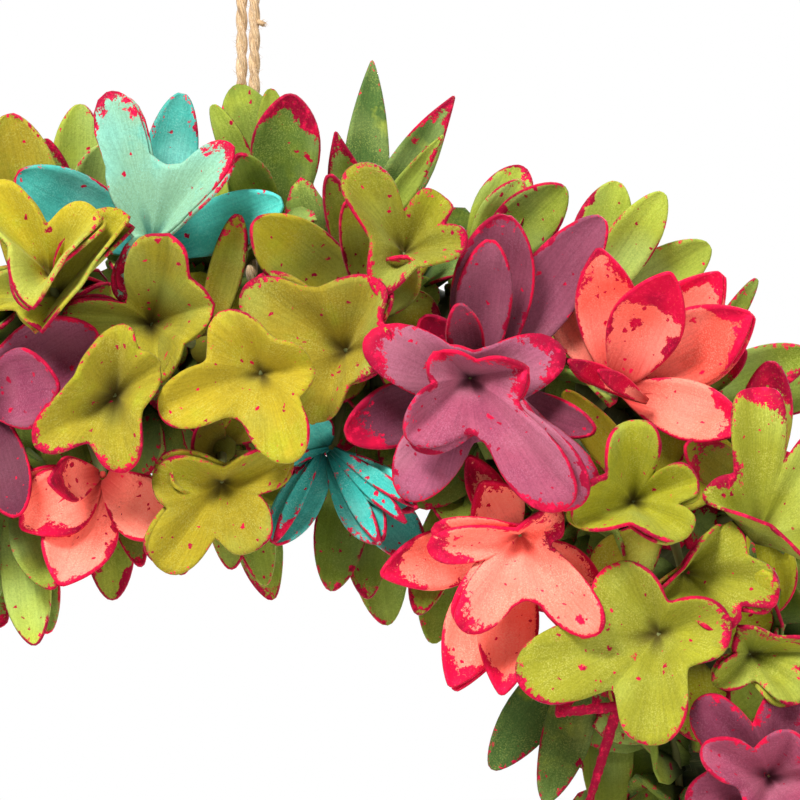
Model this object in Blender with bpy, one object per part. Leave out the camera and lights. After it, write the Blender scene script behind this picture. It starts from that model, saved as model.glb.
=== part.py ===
# Spring floral wreath: dyed blooms, lime cups and leaves on a bound ring that hangs from a jute cord.
# It hangs in the XZ plane with its front toward -Y. The origin is the top of the cord's eye.

import math
import random

import bmesh
import bpy
from mathutils import Matrix, Vector
from mathutils.bvhtree import BVHTree

MM = 0.001

# The photo: pixel size at the ring's plane, the pixel at its middle, and the ring's own centre
PIXEL = 0.30 * MM
PHOTO_MIDDLE = (400, 400)
RING_IN_PHOTO = (248, 812)
VIEW_DISTANCE = 1200 * MM

# The core ring
HANG_HEIGHT = 290 * MM
CENTRE = Vector((0, 0, -HANG_HEIGHT))
RING_RADIUS = 147.5 * MM
TUBE_RADIUS = 20 * MM
TUBE_SIDES = 10
RING_STEPS = 32
BACK_FLAT = 15.5 * MM

# The cord
STRAND = 3.5 * MM
LEG_OFFSET = 1.9 * MM
EYE_RADIUS = 8 * MM
SEIZING_TOP = -27 * MM
SEIZING_HEIGHT = 8 * MM
SEIZING_WALL = 1.6 * MM
SEIZING_SIDES = 16
CORD_POINT_STEP = 9 * MM
# The eye's arc starts at this angle and sweeps this far to its top, after a point that eases the leg into it
EYE_START = -48
EYE_SWEEP = 138
EYE_STEPS = 8
EYE_EASE = Vector((2.9 * MM, 0, 5 * MM))
SLING_POINTS = 22
SLING_LIFT = 0.9 * MM
SLING_TURN = 0.96

# Sheets, stems and the space kept between nodes
SHEET = 0.8 * MM
GAP = 0.3 * MM
MERGE = 0.01 * MM
SCRAP_EDGE = 0.002 * MM
# A cup's inner corners stand this share of the way out, and its wall rises and spreads by these shares
INNER_RING = 0.4
CUP_RISE = 0.22
CUP_SPREAD = 0.42
# How full a lobe is, how many corners its rim has, and how far the notches lean in along the cup's axis
LOBE_FULLNESS = 0.65
LOBE_CUTS = 3
NOTCH_LEAN = 0.25
# Each blade's outline: where it is widest, how full it is and how broad its foot is
OUTLINES = {"petal": (1.3, 0.6, 0.22), "round leaf": (1.4, 0.6, 0), "pointed leaf": (0.8, 1.0, 0)}
# How far a blade's rows drift toward its tip, so that a few rows still round it off
ROW_DRIFT = {"petal": 0.72, "round leaf": 0.7, "pointed leaf": 1.0}
ROUNDING = 1e-6
SWELL = 0.42 * MM
NARROW_PETAL = 16 * MM
STEM_RADIUS = 1.6 * MM
BRANCH_RADIUS = 1.2 * MM
TIP_RADIUS = 1.0 * MM
STEM_SIDES = 5
CORE_RADIUS = 4.8 * MM
STUB_RADIUS = 4.2 * MM
ROOT_DEPTH = 1.8 * MM
# A branch to a bloom's cup starts this thick, and ends this far past the cup's throat
BLOOM_BRANCH = 2.4 * MM
BRANCH_END = 0.6 * MM
TUFT_REACH = 26.5 * MM
RAY_START = 60 * MM
# A stem's foot stands off the ring by the first of these that is clear, in tenths of a millimetre
FOOT_LIFTS = range(3, 16)
SEED = 5610

TOWARD_VIEWER = Vector((0, -1, 0))
UP = Vector((0, 0, 1))

COLOURS = {
    "core": (0.16, 0.17, 0.07),
    "jute": (0.58, 0.38, 0.19),
    "coral": (1.0, 0.22, 0.15),
    "mauve": (0.38, 0.10, 0.20),
    "teal": (0.08, 0.50, 0.42),
    "lime": (0.45, 0.44, 0.05),
    "leaf": (0.20, 0.26, 0.06),
}

# Blooms that the photo shows. A place is pixel x, pixel y and millimetres in front of the ring's plane.
# A cup's tip adds how far up the notch after it stands, and a petal adds its width in millimetres.
SEEN_BLOOMS = (
    {
        "name": "mauve_front",
        "colour": "mauve",
        "base": (474, 388, 42),
        "cups": (
            {
                "throat": (470, 378, 54),
                "lean": (-20, 15),
                "tips": (
                    (410, 440, 74, 0.55),
                    (568, 508, 76, 0.60),
                    (524, 368, 70, 0.75),
                    (440, 352, 68, 0.8),
                ),
            },
            {
                "throat": (472, 392, 47),
                "lean": (-10, 10),
                "tips": (
                    (368, 338, 62, 0.50),
                    (562, 348, 58, 0.45),
                    (592, 500, 64, 0.40),
                    (404, 494, 66, 0.50),
                ),
            },
        ),
        "petals": (
            (506, 216, 50, 22),
            (490, 243, 58, 15),
            (602, 218, 46, 18),
            (424, 320, 52, 12),
            (460, 308, 64, 10),
            (348, 432, 54, 17),
            (592, 430, 60, 10),
        ),
    },
    {
        "name": "coral_east",
        "colour": "coral",
        "base": (618, 388, 36),
        "cups": (),
        "petals": (
            (546, 268, 42, 15),
            (600, 250, 50, 17),
            (668, 278, 60, 20),
            (720, 274, 44, 18),
            (749, 316, 52, 21),
            (744, 428, 56, 16),
            (574, 366, 58, 8),
        ),
    },
    {
        "name": "coral_inner",
        "colour": "coral",
        "base": (516, 540, 44),
        "cups": (
            {
                "throat": (520, 534, 54),
                "lean": (180, 25),
                "tips": (
                    (464, 632, 72, 0.60),
                    (600, 634, 72, 0.45),
                    (560, 518, 62, 0.50),
                    (430, 548, 66, 0.45),
                ),
            },
        ),
        "petals": (
            (386, 574, 60, 16),
            (452, 684, 60, 17),
            (502, 690, 66, 16),
            (604, 597, 54, 14),
            (468, 458, 50, 10),
            (484, 486, 58, 15),
        ),
    },
    {
        "name": "teal_north",
        "colour": "teal",
        "base": (154, 250, 32),
        "cups": (
            {
                "throat": (152, 244, 40),
                "lean": (0, 50),
                "tips": ((107, 90, 50, 0.60), (232, 144, 54, 0.25), (122, 290, 50, 0.25)),
            },
        ),
        "petals": (
            (181, 94, 36, 14),
            (18, 176, 44, 18),
            (278, 202, 48, 15),
        ),
    },
    {
        "name": "teal_fan",
        "colour": "teal",
        "base": (330, 452, 34),
        "cups": (),
        "petals": (
            (275, 540, 48, 12),
            (378, 540, 54, 12),
            (410, 506, 58, 10),
            (421, 558, 46, 14),
            (232, 470, 44, 7),
            (304, 424, 38, 12),
        ),
    },
    {
        "name": "coral_west",
        "colour": "coral",
        "base": (102, 474, 38),
        "cups": (),
        "petals": (
            (24, 526, 54, 19),
            (62, 582, 56, 20),
            (168, 533, 58, 17),
            (54, 482, 64, 12),
            (14, 484, 50, 7),
        ),
    },
    {
        "name": "mauve_west",
        "colour": "mauve",
        "base": (-20, 396, 40),
        "cups": (),
        "petals": (
            (92, 336, 58, 23),
            (54, 384, 66, 22),
            (16, 514, 58, 14),
            (-90, 320, 54, 20),
            (-110, 420, 56, 20),
            (-70, 500, 54, 16),
        ),
    },
    {
        "name": "mauve_rosette",
        "colour": "mauve",
        "base": (772, 782, 40),
        "cups": (
            {
                "throat": (768, 776, 54),
                "lean": (60, 15),
                "tips": (
                    (702, 748, 70, 0.72),
                    (790, 734, 70, 0.72),
                    (840, 790, 70, 0.72),
                    (760, 836, 70, 0.72),
                ),
            },
            {
                "throat": (770, 780, 47),
                "lean": (60, 12),
                "tips": (
                    (698, 704, 62, 0.68),
                    (782, 692, 60, 0.70),
                    (852, 730, 60, 0.70),
                    (846, 846, 60, 0.70),
                    (690, 804, 62, 0.70),
                ),
            },
        ),
        "petals": (),
    },
)

# Lime cups that the photo shows, in groups that share one forked pick
SEEN_CUPS = (
    {
        "name": "lime_southeast",
        "foot": (690, 650, 34),
        "fill": ((706, 742, 32, 18), (610, 700, 34, 16), (772, 612, 32, 15), (604, 590, 30, 15)),
        "cups": (
            {
                "throat": (658, 634, 54),
                "lean": (-30, 10),
                "tips": (
                    (602, 562, 62, 0.65),
                    (738, 628, 70, 0.62),
                    (650, 753, 72, 0.62),
                    (508, 684, 70, 0.70),
                ),
            },
            {
                "throat": (750, 654, 48),
                "lean": (40, 20),
                "tips": (
                    (714, 684, 62, 0.80),
                    (738, 634, 58, 0.90),
                    (834, 652, 60, 0.75),
                    (802, 704, 62, 0.70),
                ),
            },
        ),
        "petals": (),
    },
    {
        "name": "lime_northwest",
        "foot": (70, 360, 30),
        "fill": ((120, 286, 32, 17), (14, 352, 34, 17), (150, 396, 32, 15)),
        "cups": (
            {
                "throat": (50, 276, 48),
                "lean": (10, 30),
                "tips": (
                    (99, 211, 62, 0.95),
                    (34, 298, 70, 0.80),
                    (-18, 190, 54, 0.62),
                ),
            },
            {
                "throat": (58, 296, 43),
                "lean": (40, 20),
                "tips": (
                    (132, 214, 52, 0.85),
                    (40, 332, 62, 0.85),
                    (-24, 304, 52, 0.30),
                ),
            },
            {
                "throat": (116, 396, 54),
                "lean": (-60, 10),
                "tips": (
                    (120, 326, 68, 0.95),
                    (156, 366, 66, 0.80),
                    (122, 470, 70, 0.75),
                    (35, 444, 68, 0.80),
                ),
            },
        ),
        "petals": ((4, 120, 50, 22),),
    },
    {
        "name": "lime_north",
        "foot": (205, 350, 32),
        "fill": ((196, 272, 32, 16), (262, 296, 30, 15), (208, 436, 38, 16)),
        "cups": (
            {
                "throat": (150, 324, 38),
                "lean": (60, 20),
                "tips": (
                    (164, 224, 68, 0.88),
                    (222, 304, 62, 0.92),
                    (158, 388, 58, 0.60),
                    (64, 318, 42, 0.42),
                ),
            },
            {
                "throat": (262, 374, 52),
                "lean": (20, 15),
                "tips": (
                    (222, 313, 66, 0.85),
                    (311, 366, 62, 0.75),
                    (290, 462, 70, 0.60),
                    (158, 414, 66, 0.72),
                ),
            },
        ),
        "petals": ((238, 218, 48, 9),),
    },
    {
        "name": "lime_centre",
        "foot": (372, 318, 30),
        "fill": (
            (440, 322, 32, 17),
            (322, 402, 32, 16),
            (426, 402, 30, 15),
            (334, 236, 28, 15),
            (424, 222, 28, 14),
        ),
        "cups": (
            {
                "throat": (346, 352, 40),
                "lean": (-40, 15),
                "tips": (
                    (244, 288, 46, 0.78),
                    (380, 282, 58, 0.95),
                    (386, 352, 58, 0.85),
                    (318, 416, 50, 0.85),
                ),
            },
            {
                "throat": (404, 254, 42),
                "lean": (20, 32),
                "tips": (
                    (347, 172, 54, 0.55),
                    (446, 194, 52, 0.80),
                    (464, 244, 60, 0.85),
                    (380, 288, 58, 0.70),
                ),
            },
        ),
        "petals": (
            (258, 224, 54, 20),
            (408, 262, 58, 14),
            (330, 178, 50, 9),
            (348, 206, 56, 8),
        ),
    },
    {
        "name": "lime_inner",
        "foot": (222, 448, 32),
        "fill": ((256, 404, 30, 15), (300, 500, 36, 13)),
        "cups": (
            {
                "throat": (222, 482, 46),
                "lean": (180, 20),
                "tips": (
                    (146, 573, 60, 0.70),
                    (268, 554, 60, 0.60),
                    (290, 452, 50, 0.60),
                    (150, 466, 56, 0.75),
                ),
            },
        ),
        "petals": (
            (178, 484, 60, 12),
            (200, 432, 50, 11),
        ),
    },
    {
        "name": "lime_east",
        "foot": (668, 520, 32),
        "fill": ((592, 452, 30, 18), (596, 588, 34, 17), (728, 440, 30, 16), (668, 416, 28, 15)),
        "cups": (
            {
                "throat": (632, 502, 50),
                "lean": (30, 20),
                "tips": (
                    (624, 412, 62, 0.55),
                    (708, 484, 62, 0.75),
                    (690, 548, 68, 0.85),
                    (566, 526, 66, 0.80),
                ),
            },
            {
                "throat": (682, 572, 48),
                "lean": (60, 20),
                "tips": (
                    (650, 604, 58, 0.80),
                    (728, 522, 60, 0.90),
                    (788, 596, 64, 0.85),
                    (730, 632, 64, 0.75),
                ),
            },
        ),
        "petals": ((568, 394, 46, 10),),
    },
    {
        "name": "lime_far_east",
        "foot": (760, 500, 28),
        "fill": ((822, 500, 30, 15), (776, 612, 32, 16), (700, 466, 24, 15)),
        "cups": (
            {
                "throat": (756, 542, 46),
                "lean": (10, 35),
                "tips": (
                    (758, 384, 60, 0.60),
                    (840, 430, 56, 0.70),
                    (838, 578, 64, 0.85),
                    (708, 492, 60, 0.70),
                ),
            },
        ),
        "petals": (
            (772, 364, 40, 14),
            (692, 446, 50, 12),
        ),
    },
)

# Leaf tufts that the photo shows: the clock angle and side of their foot, their leaves' shape, then each
# leaf's tip and width
SEEN_TUFTS = (
    (
        "leaves_outer_1",
        -17,
        70,
        "round leaf",
        ((78, 105, 18, 15), (46, 140, 24, 9), (104, 148, 30, 14)),
    ),
    (
        "leaves_outer_2",
        3.2,
        62,
        "round leaf",
        ((237, 82, 8, 18), (212, 105, 18, 8), (270, 88, 14, 10), (290, 98, 34, 20), (238, 158, 42, 13)),
    ),
    (
        "leaves_outer_3",
        11.5,
        70,
        "pointed leaf",
        ((372, 60, 14, 13), (453, 97, 24, 13), (440, 137, 32, 7), (336, 133, 26, 11)),
    ),
    (
        "leaves_outer_4",
        22,
        75,
        "round leaf",
        ((524, 166, 6, 16), (521, 184, 22, 13), (562, 190, 30, 17)),
    ),
    (
        "leaves_outer_5",
        34,
        78,
        "round leaf",
        ((616, 181, 8, 17), (663, 194, 16, 14), (710, 245, 8, 16)),
    ),
    (
        "leaves_outer_6",
        46,
        78,
        "round leaf",
        ((757, 280, 16, 6), (808, 352, 22, 15), (742, 352, 28, 10), (846, 380, 10, 15)),
    ),
    (
        "leaves_inner_1",
        -34,
        -62,
        "round leaf",
        ((32, 641, 38, 14), (46, 632, 26, 14), (50, 583, 48, 15), (-40, 640, 30, 14)),
    ),
    (
        "leaves_inner_2",
        -20,
        -66,
        "round leaf",
        ((112, 598, 26, 15), (184, 573, 22, 12), (138, 562, 36, 9)),
    ),
    (
        "leaves_inner_3",
        -3,
        -66,
        "round leaf",
        ((232, 566, 34, 13), (272, 600, 16, 14), (264, 583, 32, 12)),
    ),
    (
        "leaves_inner_4",
        16,
        -66,
        "round leaf",
        ((331, 588, 34, 15), (368, 597, 28, 13), (388, 626, 12, 17)),
    ),
    (
        "leaves_inner_5",
        31,
        -70,
        "round leaf",
        ((432, 642, 22, 14), (420, 612, 36, 12), (452, 520, 30, 14)),
    ),
    (
        "leaves_inner_6",
        60,
        -72,
        "round leaf",
        ((494, 768, 24, 15), (548, 800, 34, 14), (610, 826, 22, 15), (560, 712, 44, 6)),
    ),
)

# The part of the ring that the photo leaves out, filled by rule
RULE_START = 99
RULE_END = 318
RULE_SPRAYS = ("lime", "coral", "teal", "lime", "mauve")
SPRAY_COUNT = 20
# A rule-built spray's angle to the front, its distance from the tube's centre, and its inner cup's rise
SPRAY_SIDE = 28
SPRAY_REACH = (32, 36)
SPRAY_RISE = 8 * MM
# Each colour's bloom: length of the outer and the inner petals in millimetres, and how far each set opens
BLOOM_RULES = {
    "coral": (36, 30, 64, 36),
    "mauve": (37, 28, 70, 50),
    "teal": (37, 33, 58, 30),
    "lime": (35, 29, 62, 42),
}
# Leafy stems bound along the outer and the inner edge: count, clock angles, side and leaf length
LEAFY_STEMS = (
    {"edge": "outer", "count": 5, "from": 62, "to": 330, "side": 58, "leaf": 44},
    {"edge": "inner", "count": 4, "from": 75, "to": 318, "side": -58, "leaf": 36},
)
STEM_LEAVES = 7
STEM_LEAF_WIDTH = (14, 17)
# A leafy stem stops this many degrees short of its neighbour
STEM_END = 1.5
# A stem's leaves point over the wreath's face or out of its edge, by turns. Each gives the distance of the
# aim from the tube's centre, its angle round the tube as a share of the stem's, and its drift
OVER_FACE = (34, 0.05, 1.2)
OUT_OF_EDGE = (58, 1.25, 0.6)
TWIG_SIDES = 4
TWIG_STEPS = 6
TWIG_REACH = 21.9 * MM

# How a blade may turn or shrink to pass clear of its neighbours: swing, pitch and scale
PETAL_TRIES = (
    (0, 0, 1.0), (0, 8, 1.0), (0, -8, 1.0), (8, 0, 1.0), (-8, 0, 1.0),
    (0, 16, 1.0), (0, -16, 1.0), (10, 10, 0.95), (-10, 10, 0.95), (0, 0, 0.85),
    (0, 14, 0.85), (0, -14, 0.85), (14, 0, 0.85), (-14, 0, 0.85), (0, 24, 0.9),
    (0, 0, 0.72), (0, 16, 0.72), (0, -16, 0.72), (18, 8, 0.72), (-18, 8, 0.72),
)
# How a whole cup may close and shrink, and then how one lobe may
CUP_TRIES = (
    (0, 1.0), (6, 1.0), (-6, 1.0), (0, 0.93), (12, 1.0),
    (8, 0.9), (-8, 0.9), (16, 0.9), (0, 0.82), (22, 0.85),
)
LOBE_TRIES = (
    (0, 1.0), (10, 1.0), (-10, 1.0), (20, 1.0), (0, 0.85), (14, 0.85), (-14, 0.85),
    (28, 0.9), (0, 0.7), (16, 0.7), (-12, 0.7), (34, 0.8), (0, 0.55), (20, 0.55), (0, 0.42), (40, 0.5),
)


def place_in_photo(x, y, height):
    # The point that far in front of the ring's plane which the photo shows at this pixel
    near = 1 - height * MM / VIEW_DISTANCE
    across = (PHOTO_MIDDLE[0] - RING_IN_PHOTO[0]) + (x - PHOTO_MIDDLE[0]) * near
    upward = (RING_IN_PHOTO[1] - PHOTO_MIDDLE[1]) + (PHOTO_MIDDLE[1] - y) * near
    return CENTRE + Vector((across * PIXEL, -height * MM, upward * PIXEL))


def outward_at(clock):
    angle = math.radians(clock)
    return Vector((math.sin(angle), 0, math.cos(angle)))


def tube_point(clock, side, reach):
    # side is the angle round the tube: 0 is the front, 90 the outer edge and -90 the inner edge
    angle = math.radians(side)
    direction = TOWARD_VIEWER * math.cos(angle) + outward_at(clock) * math.sin(angle)
    return CENTRE + outward_at(clock) * RING_RADIUS + direction * reach


def tube_centre_near(point):
    flat = point - CENTRE
    flat.y = 0
    return CENTRE + flat.normalized() * RING_RADIUS


def material_of(colour):
    found = bpy.data.materials.get(colour)
    if found:
        return found
    material = bpy.data.materials.new(colour)
    material.use_nodes = True
    shader = material.node_tree.nodes["Principled BSDF"]
    shader.inputs["Base Color"].default_value = (*COLOURS[colour], 1)
    shader.inputs["Roughness"].default_value = 0.85
    return material


def object_of(name, bm, colour):
    mesh = bpy.data.meshes.new(name)
    bm.to_mesh(mesh)
    bm.free()
    obj = bpy.data.objects.new(name, mesh)
    bpy.context.scene.collection.objects.link(obj)
    mesh.materials.append(material_of(colour))
    return obj


class Clearance:
    # What is placed so far, as one tree for each blade or stem with the node that it belongs to

    def __init__(self):
        self.placed = []

    def add(self, node, bm):
        self.placed.append((node, *tree_and_box(bm, 0)))

    def clashes(self, node, bm, passed=()):
        tree, low, high = tree_and_box(bm, SWELL)
        found = 0
        for other, other_tree, other_low, other_high in self.placed:
            if other == node or other in passed:
                continue
            if any(low[k] > other_high[k] or high[k] < other_low[k] for k in range(3)):
                continue
            found += len(tree.overlap(other_tree))
        return found


def tree_and_box(bm, swell):
    bm.normal_update()
    bm.verts.ensure_lookup_table()
    bm.verts.index_update()
    points = [vert.co + vert.normal * swell for vert in bm.verts]
    faces = [[vert.index for vert in face.verts] for face in bm.faces]
    low = [min(point[k] for point in points) for k in range(3)]
    high = [max(point[k] for point in points) for k in range(3)]
    return BVHTree.FromPolygons(points, faces), low, high


def close_sheet(bm, face):
    # Gives the sheet its thickness, on the side away from its face
    bmesh.ops.remove_doubles(bm, verts=bm.verts, dist=MERGE)
    bmesh.ops.triangulate(bm, faces=bm.faces)
    bmesh.ops.recalc_face_normals(bm, faces=bm.faces)
    bm.normal_update()
    if sum(part.normal.dot(face) * part.calc_area() for part in bm.faces) < 0:
        bmesh.ops.reverse_faces(bm, faces=bm.faces)
        bm.normal_update()
    depth_at = {vert.co[:]: vert.normal * SHEET for vert in bm.verts}
    grown = bmesh.ops.extrude_face_region(bm, geom=bm.faces[:], use_keep_orig=True)["geom"]
    for part in grown:
        if isinstance(part, bmesh.types.BMVert):
            part.co -= depth_at[part.co[:]]
    bmesh.ops.recalc_face_normals(bm, faces=bm.faces)
    return bm


def blade(root, tip, facing, width, bow, cup, keel, rows, shape):
    # A petal or leaf from root to tip. It bows back between them, and its edges rise toward the face.
    chord = tip - root
    along = chord.normalized()
    normal = (facing - along * facing.dot(along)).normalized()
    side = along.cross(normal)
    bm = bmesh.new()
    bmesh.ops.create_grid(bm, x_segments=2, y_segments=rows, size=1)
    for vert in bm.verts:
        across = vert.co.x
        up = ((vert.co.y + 1) / 2) ** ROW_DRIFT[shape]
        half = width / 2 * outline(up, shape)
        sag = -bow * 4 * up * (1 - up) * chord.length
        rise = (cup * across * across + keel * abs(across)) * half
        vert.co = root + chord * up + side * across * half + normal * (sag + rise)
    return close_sheet(bm, normal)


def outline(up, shape):
    # The half width at this share of the length. A petal keeps a broad foot, and a leaf starts from a point
    power, fullness, foot = OUTLINES[shape]
    if up > 0.999 or (up < 0.001 and foot == 0):
        return 0
    return foot * (1 - up) ** 2 + math.sin(math.pi * up**power) ** fullness


def disc(lobes):
    # A flat disc with one inner corner for each lobe, and a tip, a notch and two shoulders on its rim
    bm = bmesh.new()
    bmesh.ops.create_circle(bm, segments=lobes, radius=INNER_RING, cap_ends=True, cap_tris=True)
    border = [edge for edge in bm.edges if edge.is_boundary]
    grown = bmesh.ops.extrude_edge_only(bm, edges=border)["geom"]
    outer = [part for part in grown if isinstance(part, bmesh.types.BMVert)]
    for vert in outer:
        vert.co /= INNER_RING
    rim = [edge for edge in bm.edges if edge.verts[0] in outer and edge.verts[1] in outer]
    bmesh.ops.subdivide_edges(bm, edges=rim, cuts=LOBE_CUTS)
    bmesh.ops.triangulate(bm, faces=bm.faces)
    return bm


def rim_of(tips, axis, turn):
    # The rim's place from the throat at this share of a full turn. tips holds each lobe's vector and notch
    count = len(tips)
    nearest = math.floor(turn * count + 0.5)
    lobe = nearest % count
    offset = turn * count - nearest
    step = 1 if offset > 0 else -1
    vector, notch = tips[lobe]
    other, other_notch = tips[(lobe + step) % count]
    notch = notch if step > 0 else other_notch
    share = min(1, 2 * abs(offset))
    middle = (vector.normalized() + other.normalized() + axis * NOTCH_LEAN).normalized()
    notch_reach = notch * (vector.length + other.length) / 2
    fade = (0.5 + 0.5 * math.cos(math.pi * share)) ** LOBE_FULLNESS
    direction = (vector.normalized() * (1 - share) + middle * share).normalized()
    return direction * (vector.length * fade + notch_reach * (1 - fade))


def lobed_cup(throat, axis, tips):
    bm = disc(len(tips))
    first = math.atan2(*disc_start(bm))
    for vert in bm.verts:
        radius = vert.co.xy.length
        reach = radius if radius < INNER_RING * 1.01 else 1
        turn = ((math.atan2(vert.co.x, vert.co.y) - first) / math.tau + ROUNDING) % 1
        rim = rim_of(tips, axis, turn - ROUNDING) if reach > 0.001 else axis * 0
        flat = rim - axis * rim.dot(axis)
        control = axis * rim.length * CUP_RISE + flat * CUP_SPREAD
        vert.co = throat + control * 2 * reach * (1 - reach) + rim * reach * reach
    return close_sheet(bm, axis)


def disc_start(bm):
    corner = max(bm.verts, key=lambda vert: (round(vert.co.xy.length, 4), vert.co.y, vert.co.x))
    return corner.co.xy


def rod(start, end, start_radius, end_radius):
    bm = bmesh.new()
    line = end - start
    turn = line.to_track_quat("Z", "Y").to_matrix().to_4x4()
    bmesh.ops.create_cone(
        bm,
        cap_ends=True,
        cap_tris=False,
        segments=STEM_SIDES,
        radius1=start_radius,
        radius2=end_radius,
        depth=line.length,
        matrix=Matrix.Translation((start + end) / 2) @ turn,
    )
    bmesh.ops.triangulate(bm, faces=bm.faces)
    return bm


def knob(centre, radius):
    bm = bmesh.new()
    bmesh.ops.create_icosphere(bm, subdivisions=1, radius=radius, matrix=Matrix.Translation(centre))
    return bm


def ring_mesh():
    bm = bmesh.new()
    turn = Matrix.Rotation(math.pi / TUBE_SIDES, 4, "Z")
    bmesh.ops.create_circle(bm, segments=TUBE_SIDES, radius=TUBE_RADIUS, matrix=turn)
    for vert in bm.verts:
        if vert.co.y > BACK_FLAT:
            half = math.sqrt(TUBE_RADIUS**2 - BACK_FLAT**2)
            vert.co = Vector((math.copysign(half, vert.co.x), BACK_FLAT, 0))
    bmesh.ops.translate(bm, verts=bm.verts, vec=(RING_RADIUS, 0, 0))
    bmesh.ops.spin(
        bm,
        geom=bm.verts[:] + bm.edges[:],
        cent=(0, 0, 0),
        axis=(0, 1, 0),
        angle=math.tau,
        steps=RING_STEPS,
    )
    bmesh.ops.remove_doubles(bm, verts=bm.verts, dist=MERGE)
    bmesh.ops.recalc_face_normals(bm, faces=bm.faces)
    bmesh.ops.translate(bm, verts=bm.verts, vec=CENTRE)
    return bm


def tube_curve(name, points, thickness):
    curve = bpy.data.curves.new(name, "CURVE")
    curve.dimensions = "3D"
    curve.bevel_depth = thickness / 2
    curve.bevel_resolution = 2
    curve.use_fill_caps = True
    spline = curve.splines.new("POLY")
    spline.points.add(len(points) - 1)
    for spot, place in zip(spline.points, points):
        spot.co = (*place, 1)
    obj = bpy.data.objects.new(name, curve)
    bpy.context.scene.collection.objects.link(obj)
    curve.materials.append(material_of("jute"))
    return obj


def sling_points():
    # One turn round the core ring at its top, from under one leg of the cord to under the other
    reach = STRAND / 2 + SLING_LIFT
    half = TUBE_RADIUS + reach
    points = []
    for step in range(-1, SLING_POINTS + 2):
        share = min(1, max(0, step / SLING_POINTS))
        angle = math.tau * step / SLING_POINTS * SLING_TURN
        sideways = -LEG_OFFSET * math.cos(math.pi * share)
        depth = min(math.sin(angle) * half, BACK_FLAT + reach)
        points.append(CENTRE + Vector((sideways, depth, RING_RADIUS + math.cos(angle) * half)))
    return points


def cord_points():
    # Up one leg, round the eye and down the other leg
    eye = Vector((0, 0, -EYE_RADIUS + STRAND / 2))
    low = CENTRE.z + RING_RADIUS + TUBE_RADIUS + SLING_LIFT + STRAND + GAP
    meet = SEIZING_TOP + 2 * MM
    steps = round((meet - low) / CORD_POINT_STEP)
    leg = [Vector((LEG_OFFSET, 0, low + (meet - low) * step / steps)) for step in range(steps + 1)]
    arc = []
    for step in range(EYE_STEPS + 1):
        angle = math.radians(EYE_START + EYE_SWEEP * step / EYE_STEPS)
        arc.append(eye + Vector((math.cos(angle), 0, math.sin(angle))) * EYE_RADIUS)
    half = leg + [Vector((0, 0, meet)) + EYE_EASE] + arc
    mirrored = [Vector((-point.x, point.y, point.z)) for point in reversed(half[:-1])]
    return half + mirrored


def seizing_mesh():
    bm = bmesh.new()
    inner = STRAND / 2 + GAP
    turn = Matrix.Rotation(math.pi / SEIZING_SIDES, 4, "Z")
    bmesh.ops.create_circle(bm, segments=SEIZING_SIDES, radius=inner, matrix=turn)
    for vert in bm.verts:
        vert.co.x += math.copysign(LEG_OFFSET, vert.co.x)
    rim = bmesh.ops.extrude_edge_only(bm, edges=bm.edges[:])
    raised = [part for part in rim["geom"] if isinstance(part, bmesh.types.BMVert)]
    bmesh.ops.translate(bm, verts=raised, vec=(0, 0, SEIZING_HEIGHT))
    bmesh.ops.translate(bm, verts=bm.verts, vec=(0, 0, SEIZING_TOP - SEIZING_HEIGHT))
    bmesh.ops.recalc_face_normals(bm, faces=bm.faces)
    bmesh.ops.solidify(bm, geom=bm.faces[:], thickness=-SEIZING_WALL)
    bmesh.ops.recalc_face_normals(bm, faces=bm.faces)
    return bm


def foot_and_stem(base, ring_tree, top_radius):
    # A stem that runs from just off the ring's surface, straight out of it, to the base
    centre = tube_centre_near(base)
    out = (base - centre).normalized()
    hit = ring_tree.ray_cast(centre + out * RAY_START, -out)[0]
    for lift in FOOT_LIFTS:
        foot = hit + out * lift * 0.1 * MM
        stem = rod(foot, base, STEM_RADIUS, top_radius)
        tree = tree_and_box(stem, GAP * 0.8)[0]
        if not tree.overlap(ring_tree):
            return stem
        stem.free()
    raise ValueError("no clear foot")


class Plant:
    # One node: a stem with its core or branches, and then the blades that find room

    def __init__(self, name, colour):
        self.name = name
        self.colour = colour
        self.solids = []
        self.plans = []

    def grow(self, bm, clearance):
        clearance.add(self.name, bm)
        self.solids.append(bm)

    def grow_stem(self, bm, clearance):
        if clearance.clashes(self.name, bm, ("core_ring",)):
            print(self.name, "stem meets another node")
        self.grow(bm, clearance)

    def place_blades(self, clearance):
        for kind, plan in self.plans:
            settle = settled_cup if kind == "cup" else settled_petal
            bm = settle(plan, self.name, clearance)
            if bm:
                self.grow(bm, clearance)
            else:
                print(self.name, kind, "left out")


def settled_petal(plan, node, clearance):
    # The first of the tries that passes clear of every other node
    for change in PETAL_TRIES:
        bm = turned_blade(plan, change)
        if not clearance.clashes(node, bm):
            return bm
        bm.free()
    return None


def settled_cup(plan, node, clearance):
    # The whole cup closes or shrinks first, and then each lobe that still meets another node bends
    count = len(plan["tips"])
    best = [(0, 1.0)] * count
    least = cup_clashes(plan, best, node, clearance)
    trials = [[change] * count for change in CUP_TRIES]
    for lobe in list(range(count)) * 2:
        trials += [(lobe, change) for change in LOBE_TRIES]
    for trial in trials:
        if least == 0:
            break
        if isinstance(trial, tuple):
            lobe, change = trial
            trial = best[:lobe] + [change] + best[lobe + 1 :]
        found = cup_clashes(plan, trial, node, clearance)
        if found < least:
            best, least = trial, found
    return turned_cup(plan, best) if least == 0 else None


def cup_clashes(plan, changes, node, clearance):
    bm = turned_cup(plan, changes)
    found = clearance.clashes(node, bm)
    bm.free()
    return found


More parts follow.
